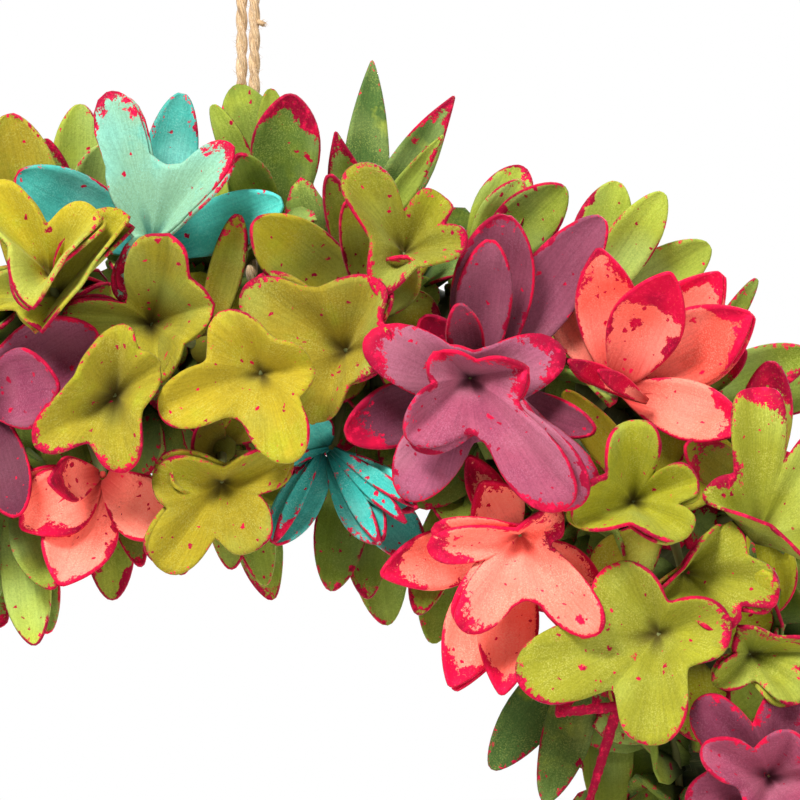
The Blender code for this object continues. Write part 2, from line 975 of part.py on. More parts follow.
def turned_blade(plan, change):
    swing, pitch, scale = change
    chord = (plan["tip"] - plan["root"]) * scale
    side = chord.cross(plan["facing"]).normalized()
    chord.rotate(Matrix.Rotation(math.radians(swing), 3, plan["facing"]))
    chord.rotate(Matrix.Rotation(math.radians(pitch), 3, side))
    return blade(
        plan["root"],
        plan["root"] + chord,
        plan["facing"],
        plan["width"] * scale,
        plan["bow"],
        plan["cup"],
        plan["keel"],
        plan["rows"],
        plan["shape"],
    )


def turned_cup(plan, changes):
    tips = []
    for (vector, notch), (closing, scale) in zip(plan["tips"], changes):
        hinge = vector.cross(plan["axis"]).normalized()
        moved = vector * scale
        moved.rotate(Matrix.Rotation(math.radians(closing), 3, hinge))
        tips.append((moved, notch))
    return lobed_cup(plan["throat"], plan["axis"], tips)


def petal_plan(base, tip, width):
    start = base + (tip - base).normalized() * ROOT_DEPTH
    return {
        "root": start,
        "tip": tip,
        "facing": TOWARD_VIEWER,
        "width": width,
        "bow": 0.10,
        "cup": 0.30,
        "keel": 0,
        "rows": 3 if width > NARROW_PETAL else 2,
        "shape": "petal",
    }


def leaf_plan(base, tip, width, shape="round leaf"):
    plan = petal_plan(base, tip, width)
    plan.update(rows=2, bow=0.05, cup=0, keel=0.30, shape=shape)
    return plan


def cup_plan(throat, axis, tips):
    return {"throat": throat, "axis": axis, "tips": tips}


def leaned(clock, lean):
    angle = math.radians(lean)
    return TOWARD_VIEWER * math.cos(angle) + outward_at(clock) * math.sin(angle)


def seen_cup_plan(cup):
    throat = place_in_photo(*cup["throat"])
    axis = leaned(*cup["lean"])
    tips = [(place_in_photo(x, y, height) - throat, notch) for x, y, height, notch in cup["tips"]]
    return cup_plan(throat, axis, tips)


def seen_bloom(bloom, ring_tree, clearance):
    plant = Plant(bloom["name"], bloom["colour"])
    base = place_in_photo(*bloom["base"])
    plant.grow_stem(foot_and_stem(base, ring_tree, STEM_RADIUS), clearance)
    plant.grow_stem(knob(base, CORE_RADIUS), clearance)
    for cup in bloom["cups"]:
        plan = seen_cup_plan(cup)
        end = plan["throat"] + plan["axis"] * BRANCH_END
        plant.grow_stem(rod(base, end, BLOOM_BRANCH, BRANCH_RADIUS), clearance)
        plant.plans.append(("cup", plan))
    for x, y, height, width in bloom["petals"]:
        plant.plans.append(("petal", petal_plan(base, place_in_photo(x, y, height), width * MM)))
    return plant


def seen_cup_group(group, ring_tree, clearance):
    plant = Plant(group["name"], "lime")
    fork = place_in_photo(*group["foot"])
    plant.grow_stem(foot_and_stem(fork, ring_tree, STEM_RADIUS), clearance)
    plant.grow_stem(knob(fork, STUB_RADIUS), clearance)
    for cup in group["cups"]:
        plan = seen_cup_plan(cup)
        end = plan["throat"] + plan["axis"] * BRANCH_END
        plant.grow_stem(rod(fork, end, STEM_RADIUS, BRANCH_RADIUS), clearance)
        plant.plans.append(("cup", plan))
    for x, y, height, width in group["petals"]:
        plant.plans.append(("petal", petal_plan(fork, place_in_photo(x, y, height), width * MM)))
    for x, y, height, width in group["fill"]:
        plant.plans.append(("leaf", leaf_plan(fork, place_in_photo(x, y, height), width * MM)))
    return plant


def seen_tuft(name, clock, side, shape, leaves, ring_tree, clearance):
    plant = Plant(name, "leaf")
    base = tube_point(clock, side, TUFT_REACH)
    plant.grow_stem(foot_and_stem(base, ring_tree, STEM_RADIUS), clearance)
    plant.grow_stem(knob(base, STUB_RADIUS), clearance)
    for x, y, height, width in leaves:
        plan = leaf_plan(base, place_in_photo(x, y, height), width * MM, shape)
        plant.plans.append(("leaf", plan))
    return plant


def rule_axis(clock, side, draw):
    lean = side * 0.8 + draw.uniform(-10, 10)
    angle = math.radians(lean)
    sideways = UP.cross(TOWARD_VIEWER) * draw.uniform(-0.2, 0.2)
    return (TOWARD_VIEWER * math.cos(angle) + outward_at(clock) * math.sin(angle) + sideways).normalized()


def around(axis, angle):
    start = axis.orthogonal().normalized()
    start.rotate(Matrix.Rotation(math.radians(angle), 3, axis))
    return start


def rule_cup(throat, axis, length, lobes, opening, turn, draw):
    tips = []
    for lobe in range(lobes):
        angle = turn + 360 * lobe / lobes + draw.uniform(-7, 7)
        open_angle = math.radians(opening + draw.uniform(-6, 6))
        vector = axis * math.cos(open_angle) + around(axis, angle) * math.sin(open_angle)
        tips.append((vector * length * draw.uniform(0.9, 1.1), draw.uniform(0.42, 0.55)))
    return ("cup", cup_plan(throat, axis, tips))


def rule_spray(index, ring_tree, clearance):
    draw = random.Random(SEED + index)
    colour = RULE_SPRAYS[index % len(RULE_SPRAYS)]
    plant = Plant(f"{colour}_spray_{index + 1}", colour)
    clock = RULE_START + (RULE_END - RULE_START) * (index + 0.5) / SPRAY_COUNT + draw.uniform(-1, 1)
    side = (SPRAY_SIDE if index % 2 else -SPRAY_SIDE) + draw.uniform(-5, 5)
    reach = draw.uniform(*SPRAY_REACH) * MM
    base = tube_point(clock, side, reach)
    throat = tube_point(clock, side, reach + SPRAY_RISE)
    axis = rule_axis(clock, side, draw)
    outer, inner, outer_opening, inner_opening = BLOOM_RULES[colour]
    turn = draw.uniform(0, 90)
    lobes = 4 if colour == "lime" else 5
    plant.grow_stem(foot_and_stem(throat, ring_tree, TIP_RADIUS), clearance)
    plant.plans.append(rule_cup(throat, axis, inner * MM, 3, inner_opening, turn + 45, draw))
    plant.plans.append(rule_cup(base, axis, outer * MM, lobes, outer_opening, turn, draw))
    return plant


def twig(clock, span, side):
    # A thin stem that lies along the ring, from this clock angle through the span
    bm = bmesh.new()
    lying = Matrix.Rotation(math.radians(90), 4, "Y")
    bmesh.ops.create_circle(bm, segments=TWIG_SIDES, radius=BRANCH_RADIUS, matrix=lying)
    bmesh.ops.translate(bm, verts=bm.verts, vec=tube_point(0, side, TWIG_REACH) - CENTRE)
    turn = Matrix.Rotation(math.radians(clock), 3, "Y")
    bmesh.ops.rotate(bm, verts=bm.verts, cent=(0, 0, 0), matrix=turn)
    bmesh.ops.spin(
        bm,
        geom=bm.verts[:] + bm.edges[:],
        cent=(0, 0, 0),
        axis=(0, 1, 0),
        angle=math.radians(span),
        steps=TWIG_STEPS,
    )
    bmesh.ops.holes_fill(bm, edges=[edge for edge in bm.edges if edge.is_boundary])
    bmesh.ops.recalc_face_normals(bm, faces=bm.faces)
    bmesh.ops.triangulate(bm, faces=bm.faces)
    bmesh.ops.translate(bm, verts=bm.verts, vec=CENTRE)
    return bm


def leafy_stem(stems, number, clearance):
    # Leaves grow from it by turns: one points out of the wreath's edge, and the next lies over its face
    draw = random.Random(SEED + 100 + number + (20 if stems["side"] < 0 else 0))
    span = (stems["to"] - stems["from"]) / stems["count"] - 2 * STEM_END
    first = stems["from"] + (span + 2 * STEM_END) * number + STEM_END
    plant = Plant(f"leafy_stem_{stems['edge']}_{number + 1}", "leaf")
    plant.grow_stem(twig(first, span, stems["side"]), clearance)
    for leaf in range(STEM_LEAVES):
        clock = first + span * (leaf + 0.5) / STEM_LEAVES
        plant.plans.append(("leaf", stem_leaf_plan(stems, leaf, clock, draw)))
    return plant


def stem_leaf_plan(stems, leaf, clock, draw):
    base = tube_point(clock, stems["side"], TWIG_REACH)
    aim, side_share, drift = OVER_FACE if leaf % 2 else OUT_OF_EDGE
    reach = aim + draw.uniform(-4, 4)
    sideways = draw.uniform(-14, 14) * drift
    aimed = tube_point(clock + sideways, stems["side"] * side_share, reach * MM)
    tip = base + (aimed - base).normalized() * stems["leaf"] * draw.uniform(0.85, 1.1) * MM
    shape = "pointed leaf" if leaf % 4 == 0 else "round leaf"
    plan = leaf_plan(base, tip, draw.uniform(*STEM_LEAF_WIDTH) * MM, shape)
    plan["root"] = base
    return plan


def leafy_stems(clearance):
    return [
        leafy_stem(stems, number, clearance)
        for stems in LEAFY_STEMS
        for number in range(stems["count"])
    ]


def loose_parts(bm):
    waiting = set(bm.faces)
    parts = []
    while waiting:
        stack = [waiting.pop()]
        part = []
        while stack:
            face = stack.pop()
            part.append(face)
            for edge in face.edges:
                for neighbour in edge.link_faces:
                    if neighbour in waiting:
                        waiting.remove(neighbour)
                        stack.append(neighbour)
        parts.append(part)
    return parts


def fuse(plant):
    # One Boolean union joins the stem and its blades, and then any scrap or sealed hollow goes
    helpers = bpy.data.collections.new(plant.name + "_blades")
    bpy.context.scene.collection.children.link(helpers)
    first, *rest = plant.solids
    body = object_of(plant.name, first, plant.colour)
    for number, bm in enumerate(rest):
        piece = object_of(f"{plant.name}_piece_{number}", bm, plant.colour)
        bpy.context.scene.collection.objects.unlink(piece)
        helpers.objects.link(piece)
    union = body.modifiers.new("join", "BOOLEAN")
    union.operation = "UNION"
    union.operand_type = "COLLECTION"
    union.collection = helpers
    union.solver = "MANIFOLD"
    graph = bpy.context.evaluated_depsgraph_get()
    joined = bpy.data.meshes.new_from_object(body.evaluated_get(graph))
    body.modifiers.clear()
    body.data = joined
    joined.name = plant.name
    for piece in list(helpers.objects):
        bpy.data.objects.remove(piece)
    bpy.data.collections.remove(helpers)
    keep_largest(body)
    return body


def keep_largest(body):
    bm = bmesh.new()
    bm.from_mesh(body.data)
    parts = sorted(loose_parts(bm), key=len)
    for part in parts[:-1]:
        bmesh.ops.delete(bm, geom=part, context="FACES")
    bmesh.ops.dissolve_degenerate(bm, edges=bm.edges, dist=SCRAP_EDGE)
    bmesh.ops.triangulate(bm, faces=bm.faces)
    bm.to_mesh(body.data)
    bm.free()


def clear_scene():
    for obj in list(bpy.data.objects):
        bpy.data.objects.remove(obj)


def build_ring_and_cord(clearance):
    ring = object_of("core_ring", ring_mesh(), "core")
    bm = bmesh.new()
    bm.from_mesh(ring.data)
    clearance.add("core_ring", bm)
    ring_tree = tree_and_box(bm, 0)[0]
    bm.free()
    cords = (
        tube_curve("cord_sling", sling_points(), STRAND),
        tube_curve("hanging_cord", cord_points(), STRAND),
        object_of("cord_seizing", seizing_mesh(), "jute"),
    )
    graph = bpy.context.evaluated_depsgraph_get()
    for cord in cords:
        bm = bmesh.new()
        bm.from_mesh(bpy.data.meshes.new_from_object(cord.evaluated_get(graph)))
        clearance.add(cord.name, bm)
        bm.free()
    return ring_tree


def main():
    clear_scene()
    clearance = Clearance()
    ring_tree = build_ring_and_cord(clearance)
    plants = [seen_bloom(bloom, ring_tree, clearance) for bloom in SEEN_BLOOMS]
    plants += [seen_cup_group(group, ring_tree, clearance) for group in SEEN_CUPS]
    plants += [rule_spray(index, ring_tree, clearance) for index in range(SPRAY_COUNT)]
    plants += [seen_tuft(*tuft, ring_tree, clearance) for tuft in SEEN_TUFTS]
    plants += leafy_stems(clearance)
    for plant in plants:
        plant.place_blades(clearance)
    for plant in plants:
        fuse(plant)


if __name__ == "__main__":
    main()
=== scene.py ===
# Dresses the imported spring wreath: dyed blooms, lime cups and leaves on a bound ring on a jute cord.
# Its front faces -Y, and the origin is the top of the cord's eye. Lengths are metres unless a name says mm.

import math
import random

import bmesh
import bpy
from mathutils import Matrix, Vector, noise
from mathutils.bvhtree import BVHTree
from mathutils.kdtree import KDTree


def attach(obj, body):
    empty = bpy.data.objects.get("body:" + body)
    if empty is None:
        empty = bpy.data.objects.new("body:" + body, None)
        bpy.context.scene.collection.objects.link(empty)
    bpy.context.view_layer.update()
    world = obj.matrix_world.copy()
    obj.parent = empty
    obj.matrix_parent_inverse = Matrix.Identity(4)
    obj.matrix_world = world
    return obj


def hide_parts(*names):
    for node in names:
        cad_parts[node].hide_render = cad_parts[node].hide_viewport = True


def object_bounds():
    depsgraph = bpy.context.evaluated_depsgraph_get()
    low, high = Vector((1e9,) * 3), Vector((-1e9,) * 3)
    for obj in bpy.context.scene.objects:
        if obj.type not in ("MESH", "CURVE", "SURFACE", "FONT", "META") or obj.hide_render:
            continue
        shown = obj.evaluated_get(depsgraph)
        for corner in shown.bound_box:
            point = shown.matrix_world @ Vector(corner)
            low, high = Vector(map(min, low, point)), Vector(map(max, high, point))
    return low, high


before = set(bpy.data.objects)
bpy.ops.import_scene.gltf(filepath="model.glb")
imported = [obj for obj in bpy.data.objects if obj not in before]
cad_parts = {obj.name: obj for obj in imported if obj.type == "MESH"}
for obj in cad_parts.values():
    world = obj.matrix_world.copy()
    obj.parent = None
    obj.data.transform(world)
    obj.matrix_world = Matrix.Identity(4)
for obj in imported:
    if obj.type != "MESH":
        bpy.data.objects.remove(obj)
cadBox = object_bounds()
mm = 0.001
towardViewer = Vector((0, -1, 0))
up = Vector((0, 0, 1))
seed = 5610

# The photo's scale at the ring's plane, and the ring that carries everything
photo = {
    "pixel": 0.30 * mm, "middle": (400, 400), "ringAt": (248, 812), "side": 800, "distance": 1200 * mm,
    "sensor": 36,
}
ring = {"hang": 290 * mm, "radius": 147.5 * mm, "tube": 20 * mm, "backFlat": 15.5 * mm, "rayStart": 60 * mm}
centre = Vector((0, 0, -ring["hang"]))
stems = {
    "stem": 1.6 * mm, "branch": 1.2 * mm, "tip": 1.0 * mm, "bloomBranch": 2.4 * mm, "branchEnd": 0.6 * mm,
    "core": 4.8 * mm, "stub": 4.2 * mm, "rootDepth": 1.8 * mm, "tuftReach": 26.5 * mm, "twigReach": 21.9 * mm,
    "twigEnds": (1.7 * mm, 1.2 * mm),
}

# Blooms and lime cups that the photo shows. A place is pixel x, pixel y and millimetres in front of the
# ring's plane. A cup is its throat, its lean (clock angle, and degrees from the front) and its tips, each
# with how far up the notch after it stands. Petals, and leaves that fill in, end with their width in mm.
seenPlants = {
    "mauve_front": {
        "base": (474, 388, 42),
        "cups": (
            ((470, 378, 54), (-20, 15), (
                (410, 440, 74, 0.55), (568, 508, 76, 0.6), (524, 368, 70, 0.75), (440, 352, 68, 0.8),
            )),
            ((472, 392, 47), (-10, 10), (
                (368, 338, 62, 0.5), (562, 348, 58, 0.45), (592, 500, 64, 0.4), (404, 494, 66, 0.5),
            )),
        ),
        "petals": (
            (506, 216, 50, 22), (490, 243, 58, 15), (602, 218, 46, 18), (424, 320, 52, 12),
            (460, 308, 64, 10), (348, 432, 54, 17), (592, 430, 60, 10),
        ),
    },
    "coral_east": {
        "base": (618, 388, 36),
        "petals": (
            (546, 268, 42, 15), (600, 250, 50, 17), (668, 278, 60, 20), (720, 274, 44, 18),
            (749, 316, 52, 21), (744, 428, 56, 16), (574, 366, 58, 8),
        ),
    },
    "coral_inner": {
        "base": (516, 540, 44),
        "cups": (
            ((520, 534, 54), (180, 25), (
                (464, 632, 72, 0.6), (600, 634, 72, 0.45), (560, 518, 62, 0.5), (430, 548, 66, 0.45),
            )),
        ),
        "petals": (
            (386, 574, 60, 16), (452, 684, 60, 17), (502, 690, 66, 16), (604, 597, 54, 14),
            (468, 458, 50, 10), (484, 486, 58, 15),
        ),
    },
    "teal_north": {
        "base": (154, 250, 32),
        "cups": (
            ((152, 244, 40), (0, 50), ((107, 90, 50, 0.6), (232, 144, 54, 0.25), (122, 290, 50, 0.25))),
        ),
        "petals": ((181, 94, 36, 14), (18, 176, 44, 18), (278, 202, 48, 15)),
    },
    "teal_fan": {
        "base": (330, 452, 34),
        "petals": (
            (275, 540, 48, 12), (378, 540, 54, 12), (410, 506, 58, 10), (421, 558, 46, 14),
            (232, 470, 44, 7), (304, 424, 38, 12),
        ),
    },
    "coral_west": {
        "base": (102, 474, 38),
        "petals": (
            (24, 526, 54, 19), (62, 582, 56, 20), (168, 533, 58, 17), (54, 482, 64, 12), (14, 484, 50, 7),
        ),
    },
    "mauve_west": {
        "base": (-20, 396, 40),
        "petals": (
            (92, 336, 58, 23), (54, 384, 66, 22), (16, 514, 58, 14), (-90, 320, 54, 20),
            (-110, 420, 56, 20), (-70, 500, 54, 16),
        ),
    },
    "mauve_rosette": {
        "base": (772, 782, 40),
        "cups": (
            ((768, 776, 54), (60, 15), (
                (702, 748, 70, 0.72), (790, 734, 70, 0.72), (840, 790, 70, 0.72), (760, 836, 70, 0.72),
            )),
            ((770, 780, 47), (60, 12), (
                (698, 704, 62, 0.68), (782, 692, 60, 0.7), (852, 730, 60, 0.7), (846, 846, 60, 0.7),
                (690, 804, 62, 0.7),
            )),
        ),
    },
    "lime_southeast": {
        "base": (690, 650, 34),
        "cups": (
            ((658, 634, 54), (-30, 10), (
                (602, 562, 62, 0.65), (738, 628, 70, 0.62), (650, 753, 72, 0.62), (508, 684, 70, 0.7),
            )),
            ((750, 654, 48), (40, 20), (
                (714, 684, 62, 0.8), (738, 634, 58, 0.9), (834, 652, 60, 0.75), (802, 704, 62, 0.7),
            )),
        ),
        "fill": ((706, 742, 32, 18), (610, 700, 34, 16), (772, 612, 32, 15), (604, 590, 30, 15)),
    },
    "lime_northwest": {
        "base": (70, 360, 30),
        "cups": (
            ((50, 276, 48), (10, 30), ((99, 211, 62, 0.95), (34, 298, 70, 0.8), (-18, 190, 54, 0.62))),
            ((58, 296, 43), (40, 20), ((132, 214, 52, 0.85), (40, 332, 62, 0.85), (-24, 304, 52, 0.3))),
            ((116, 396, 54), (-60, 10), (
                (120, 326, 68, 0.95), (156, 366, 66, 0.8), (122, 470, 70, 0.75), (35, 444, 68, 0.8),
            )),
        ),
        "petals": ((4, 120, 50, 22),),
        "fill": ((120, 286, 32, 17), (14, 352, 34, 17), (150, 396, 32, 15)),
    },
    "lime_north": {
        "base": (205, 350, 32),
        "cups": (
            ((150, 324, 38), (60, 20), (
                (164, 224, 68, 0.88), (222, 304, 62, 0.92), (158, 388, 58, 0.6), (64, 318, 42, 0.42),
            )),
            ((262, 374, 52), (20, 15), (
                (222, 313, 66, 0.85), (311, 366, 62, 0.75), (290, 462, 70, 0.6), (158, 414, 66, 0.72),
            )),
        ),
        "petals": ((238, 218, 48, 9),),
        "fill": ((196, 272, 32, 16), (262, 296, 30, 15), (208, 436, 38, 16)),
    },
    "lime_centre": {
        "base": (372, 318, 30),
        "cups": (
            ((346, 352, 40), (-40, 15), (
                (244, 288, 46, 0.78), (380, 282, 58, 0.95), (386, 352, 58, 0.85), (318, 416, 50, 0.85),
            )),
            ((404, 254, 42), (20, 32), (
                (347, 172, 54, 0.55), (446, 194, 52, 0.8), (464, 244, 60, 0.85), (380, 288, 58, 0.7),
            )),
        ),
        "petals": ((258, 224, 54, 20), (408, 262, 58, 14), (330, 178, 50, 9), (348, 206, 56, 8)),
        "fill": (
            (440, 322, 32, 17), (322, 402, 32, 16), (426, 402, 30, 15), (334, 236, 28, 15),
            (424, 222, 28, 14),
        ),
    },
    "lime_inner": {
        "base": (222, 448, 32),
        "cups": (
            ((222, 482, 46), (180, 20), (
                (146, 573, 60, 0.7), (268, 554, 60, 0.6), (290, 452, 50, 0.6), (150, 466, 56, 0.75),
            )),
        ),
        "petals": ((178, 484, 60, 12), (200, 432, 50, 11)),
        "fill": ((256, 404, 30, 15), (300, 500, 36, 13)),
    },
    "lime_east": {
        "base": (668, 520, 32),
        "cups": (
            ((632, 502, 50), (30, 20), (
                (624, 412, 62, 0.55), (708, 484, 62, 0.75), (690, 548, 68, 0.85), (566, 526, 66, 0.8),
            )),
            ((682, 572, 48), (60, 20), (
                (650, 604, 58, 0.8), (728, 522, 60, 0.9), (788, 596, 64, 0.85), (730, 632, 64, 0.75),
            )),
        ),
        "petals": ((568, 394, 46, 10),),
        "fill": ((592, 452, 30, 18), (596, 588, 34, 17), (728, 440, 30, 16), (668, 416, 28, 15)),
    },
    "lime_far_east": {
        "base": (760, 500, 28),
        "cups": (
            ((756, 542, 46), (10, 35), (
                (758, 384, 60, 0.6), (840, 430, 56, 0.7), (838, 578, 64, 0.85), (708, 492, 60, 0.7),
            )),
        ),
        "petals": ((772, 364, 40, 14), (692, 446, 50, 12)),
        "fill": ((822, 500, 30, 15), (776, 612, 32, 16), (700, 466, 24, 15)),
    },
}

# Leaf tufts that the photo shows: clock angle and side of the foot, the leaves' shape, their tips and widths
seenTufts = (
    ("leaves_outer_1", -17, 70, "roundLeaf", ((78, 105, 18, 15), (46, 140, 24, 9), (104, 148, 30, 14))),
    ("leaves_outer_2", 3.2, 62, "roundLeaf", (
        (237, 82, 8, 18), (212, 105, 18, 8), (270, 88, 14, 10), (290, 98, 34, 20), (238, 158, 42, 13),
    )),
    ("leaves_outer_3", 11.5, 70, "pointedLeaf", (
        (372, 60, 14, 13), (453, 97, 24, 13), (440, 137, 32, 7), (336, 133, 26, 11),
    )),
    ("leaves_outer_4", 22, 75, "roundLeaf", ((524, 166, 6, 16), (521, 184, 22, 13), (562, 190, 30, 17))),
    ("leaves_outer_5", 34, 78, "roundLeaf", ((616, 181, 8, 17), (663, 194, 16, 14), (710, 245, 8, 16))),
    ("leaves_outer_6", 46, 78, "roundLeaf", (
        (757, 280, 16, 6), (808, 352, 22, 15), (742, 352, 28, 10), (846, 380, 10, 15),
    )),
    ("leaves_inner_1", -34, -62, "roundLeaf", (
        (32, 641, 38, 14), (46, 632, 26, 14), (50, 583, 48, 15), (-40, 640, 30, 14),
    )),
    ("leaves_inner_2", -20, -66, "roundLeaf", ((112, 598, 26, 15), (184, 573, 22, 12), (138, 562, 36, 9))),
    ("leaves_inner_3", -3, -66, "roundLeaf", ((232, 566, 34, 13), (272, 600, 16, 14), (264, 583, 32, 12))),
    ("leaves_inner_4", 16, -66, "roundLeaf", ((331, 588, 34, 15), (368, 597, 28, 13), (388, 626, 12, 17))),
    ("leaves_inner_5", 31, -70, "roundLeaf", ((432, 642, 22, 14), (420, 612, 36, 12), (452, 520, 30, 14))),
    ("leaves_inner_6", 60, -72, "roundLeaf", (
        (494, 768, 24, 15), (548, 800, 34, 14), (610, 826, 22, 15), (560, 712, 44, 6),
    )),
)

# The part of the ring that the photo leaves out, filled by rule
rule = {
    "from": 99, "to": 318, "count": 20, "colours": ("lime", "coral", "teal", "lime", "mauve"),
    # A spray's angle to the front, its distance from the tube's centre, and its inner cup's rise
    "side": 28, "reach": (32, 36), "rise": 8 * mm,
}
# Each colour's bloom: length of the outer and the inner petals in millimetres, and how far each set opens
bloomRules = {
    "coral": (36, 30, 64, 36), "mauve": (37, 28, 70, 50), "teal": (37, 33, 58, 30), "lime": (35, 29, 62, 42),
}
# Leafy stems bound along the outer and the inner edge: count, clock angles, side and leaf length
leafyStems = (
    {"edge": "outer", "count": 5, "from": 62, "to": 330, "side": 58, "leaf": 44},
    {"edge": "inner", "count": 4, "from": 75, "to": 318, "side": -58, "leaf": 36},
)
# A leafy stem stops some degrees short of its neighbour. Its leaves point over the wreath's face or out of
# its edge, by turns: the aim's distance from the tube's centre, its angle as a share of the stem's, its drift
leafy = {
    "leaves": 7, "width": (14, 17), "gap": 1.5,
    "overFace": (34, 0.05, 1.2), "outOfEdge": (58, 1.25, 0.6),
}

# How a blade may turn or shrink to pass clear of its neighbours: swing, pitch and scale
petalTries = (
    (0, 0, 1.0), (0, 8, 1.0), (0, -8, 1.0), (8, 0, 1.0), (-8, 0, 1.0),
    (0, 16, 1.0), (0, -16, 1.0), (10, 10, 0.95), (-10, 10, 0.95), (0, 0, 0.85),
    (0, 14, 0.85), (0, -14, 0.85), (14, 0, 0.85), (-14, 0, 0.85), (0, 24, 0.9),
    (0, 0, 0.72), (0, 16, 0.72), (0, -16, 0.72), (18, 8, 0.72), (-18, 8, 0.72),
)
# How each lobe of a cup may close and shrink, in the order they are tried
lobeTries = (
    (0, 1.0), (6, 1.0), (-6, 1.0), (0, 0.93), (12, 1.0), (8, 0.9), (-8, 0.9), (16, 0.9), (0, 0.82),
    (22, 0.85),
    (0, 1.0), (10, 1.0), (-10, 1.0), (20, 1.0), (0, 0.85), (14, 0.85), (-14, 0.85), (28, 0.9), (0, 0.7),
    (16, 0.7), (-12, 0.7), (34, 0.8), (0, 0.55), (20, 0.55), (0, 0.42), (40, 0.5),
)


def placeInPhoto(x, y, height):
    near = 1 - height * mm / photo["distance"]
    across = (photo["middle"][0] - photo["ringAt"][0]) + (x - photo["middle"][0]) * near
    upward = (photo["ringAt"][1] - photo["middle"][1]) + (photo["middle"][1] - y) * near
    return centre + Vector((across * photo["pixel"], -height * mm, upward * photo["pixel"]))


def outwardAt(clock):
    return Vector((math.sin(math.radians(clock)), 0, math.cos(math.radians(clock))))


def leaned(clock, lean):
    # From the front, 90 degrees lean to the outer edge and -90 to the inner edge
    return towardViewer * math.cos(math.radians(lean)) + outwardAt(clock) * math.sin(math.radians(lean))


def tubePoint(clock, side, reach):
    return centre + outwardAt(clock) * ring["radius"] + leaned(clock, side) * reach


def turned(vector, angle, axis):
    moved = vector.copy()
    moved.rotate(Matrix.Rotation(angle, 3, axis))
    return moved


def squared(vector, axis):
    # What is left of the vector at a right angle to the axis, as a unit
    return (vector - axis * vector.dot(axis)).normalized()


# Plans: what grows on each plant before it is bent clear of its neighbours, as the CAD source has it


def petalPlan(base, tip, width, **more):
    root = base + (tip - base).normalized() * stems["rootDepth"]
    plan = {"kind": "petal", "root": root, "tip": tip, "facing": towardViewer, "width": width}
    plan.update(bow=0.10, cup=0.30, keel=0, **more)
    return plan


def leafPlan(base, tip, width, kind="roundLeaf"):
    plan = petalPlan(base, tip, width)
    plan.update(kind=kind, bow=0.05, cup=0, keel=0.30)
    return plan


def cupPlan(throat, axis, tips):
    return {"kind": "cup", "throat": throat, "axis": axis, "tips": tips}


def seenPlans(plant, lime):
    # A bloom's branches are thicker than those of a group of lime cups, and meet in a thicker core
    base = placeInPhoto(*plant["base"])
    branch, knob = (stems["stem"], stems["stub"]) if lime else (stems["bloomBranch"], stems["core"])
    rods = [(base, stems["stem"], stems["stem"])]
    plans = []
    for place, lean, tips in plant.get("cups", ()):
        throat, axis = placeInPhoto(*place), leaned(*lean)
        rods.append((throat + axis * stems["branchEnd"], branch, stems["branch"]))
        plans.append(cupPlan(throat, axis, [(placeInPhoto(*tip[:3]) - throat, tip[3]) for tip in tips]))
    for planOf, rows in ((petalPlan, "petals"), (leafPlan, "fill")):
        for x, y, height, width in plant.get(rows, ()):
            plans.append(planOf(base, placeInPhoto(x, y, height), width * mm))
    return base, knob, rods, plans


def tuftPlans(clock, side, kind, leaves):
    base = tubePoint(clock, side, stems["tuftReach"])
    plans = [leafPlan(base, placeInPhoto(x, y, height), width * mm, kind) for x, y, height, width in leaves]
    return base, stems["stub"], [(base, stems["stem"], stems["stem"])], plans


def ruleCup(throat, axis, length, lobes, opening, turn, draw):
    tips = []
    for lobe in range(lobes):
        angle = turn + 360 * lobe / lobes + draw.uniform(-7, 7)
        openAngle = math.radians(opening + draw.uniform(-6, 6))
        outward = turned(axis.orthogonal().normalized(), math.radians(angle), axis)
        vector = axis * math.cos(openAngle) + outward * math.sin(openAngle)
        tips.append((vector * length * draw.uniform(0.9, 1.1), draw.uniform(0.42, 0.55)))
    return cupPlan(throat, axis, tips)


def sprayPlans(index):
    draw = random.Random(seed + index)
    colour = rule["colours"][index % len(rule["colours"])]
    clock = rule["from"] + (rule["to"] - rule["from"]) * (index + 0.5) / rule["count"] + draw.uniform(-1, 1)
    side = (rule["side"] if index % 2 else -rule["side"]) + draw.uniform(-5, 5)
    reach = draw.uniform(*rule["reach"]) * mm
    base = tubePoint(clock, side, reach)
    throat = tubePoint(clock, side, reach + rule["rise"])
    axis = leaned(clock, side * 0.8 + draw.uniform(-10, 10))
    axis = (axis + up.cross(towardViewer) * draw.uniform(-0.2, 0.2)).normalized()
    outer, inner, outerOpening, innerOpening = bloomRules[colour]
    turn = draw.uniform(0, 90)
    plans = [
        ruleCup(throat, axis, inner * mm, 3, innerOpening, turn + 45, draw),
        ruleCup(base, axis, outer * mm, 4 if colour == "lime" else 5, outerOpening, turn, draw),
    ]
    return colour, (throat, 0, [(throat, stems["stem"], stems["tip"])], plans)


def leafyStemPlans(row, number):
    draw = random.Random(seed + 100 + number + (20 if row["side"] < 0 else 0))
    span = (row["to"] - row["from"]) / row["count"] - 2 * leafy["gap"]
    first = row["from"] + (span + 2 * leafy["gap"]) * number + leafy["gap"]
    plans = []
    for leaf in range(leafy["leaves"]):
        clock = first + span * (leaf + 0.5) / leafy["leaves"]
        base = tubePoint(clock, row["side"], stems["twigReach"])
        aim, sideShare, drift = leafy["overFace" if leaf % 2 else "outOfEdge"]
        reach = aim + draw.uniform(-4, 4)
        sideways = draw.uniform(-14, 14) * drift
        aimed = tubePoint(clock + sideways, row["side"] * sideShare, reach * mm)
        tip = base + (aimed - base).normalized() * row["leaf"] * draw.uniform(0.85, 1.1) * mm
        kind = "roundLeaf" if leaf % 4 else "pointedLeaf"
        plan = leafPlan(base, tip, draw.uniform(*leafy["width"]) * mm, kind)
        plan["root"] = base
        plans.append(plan)
    return plans, (first, span, row["side"])


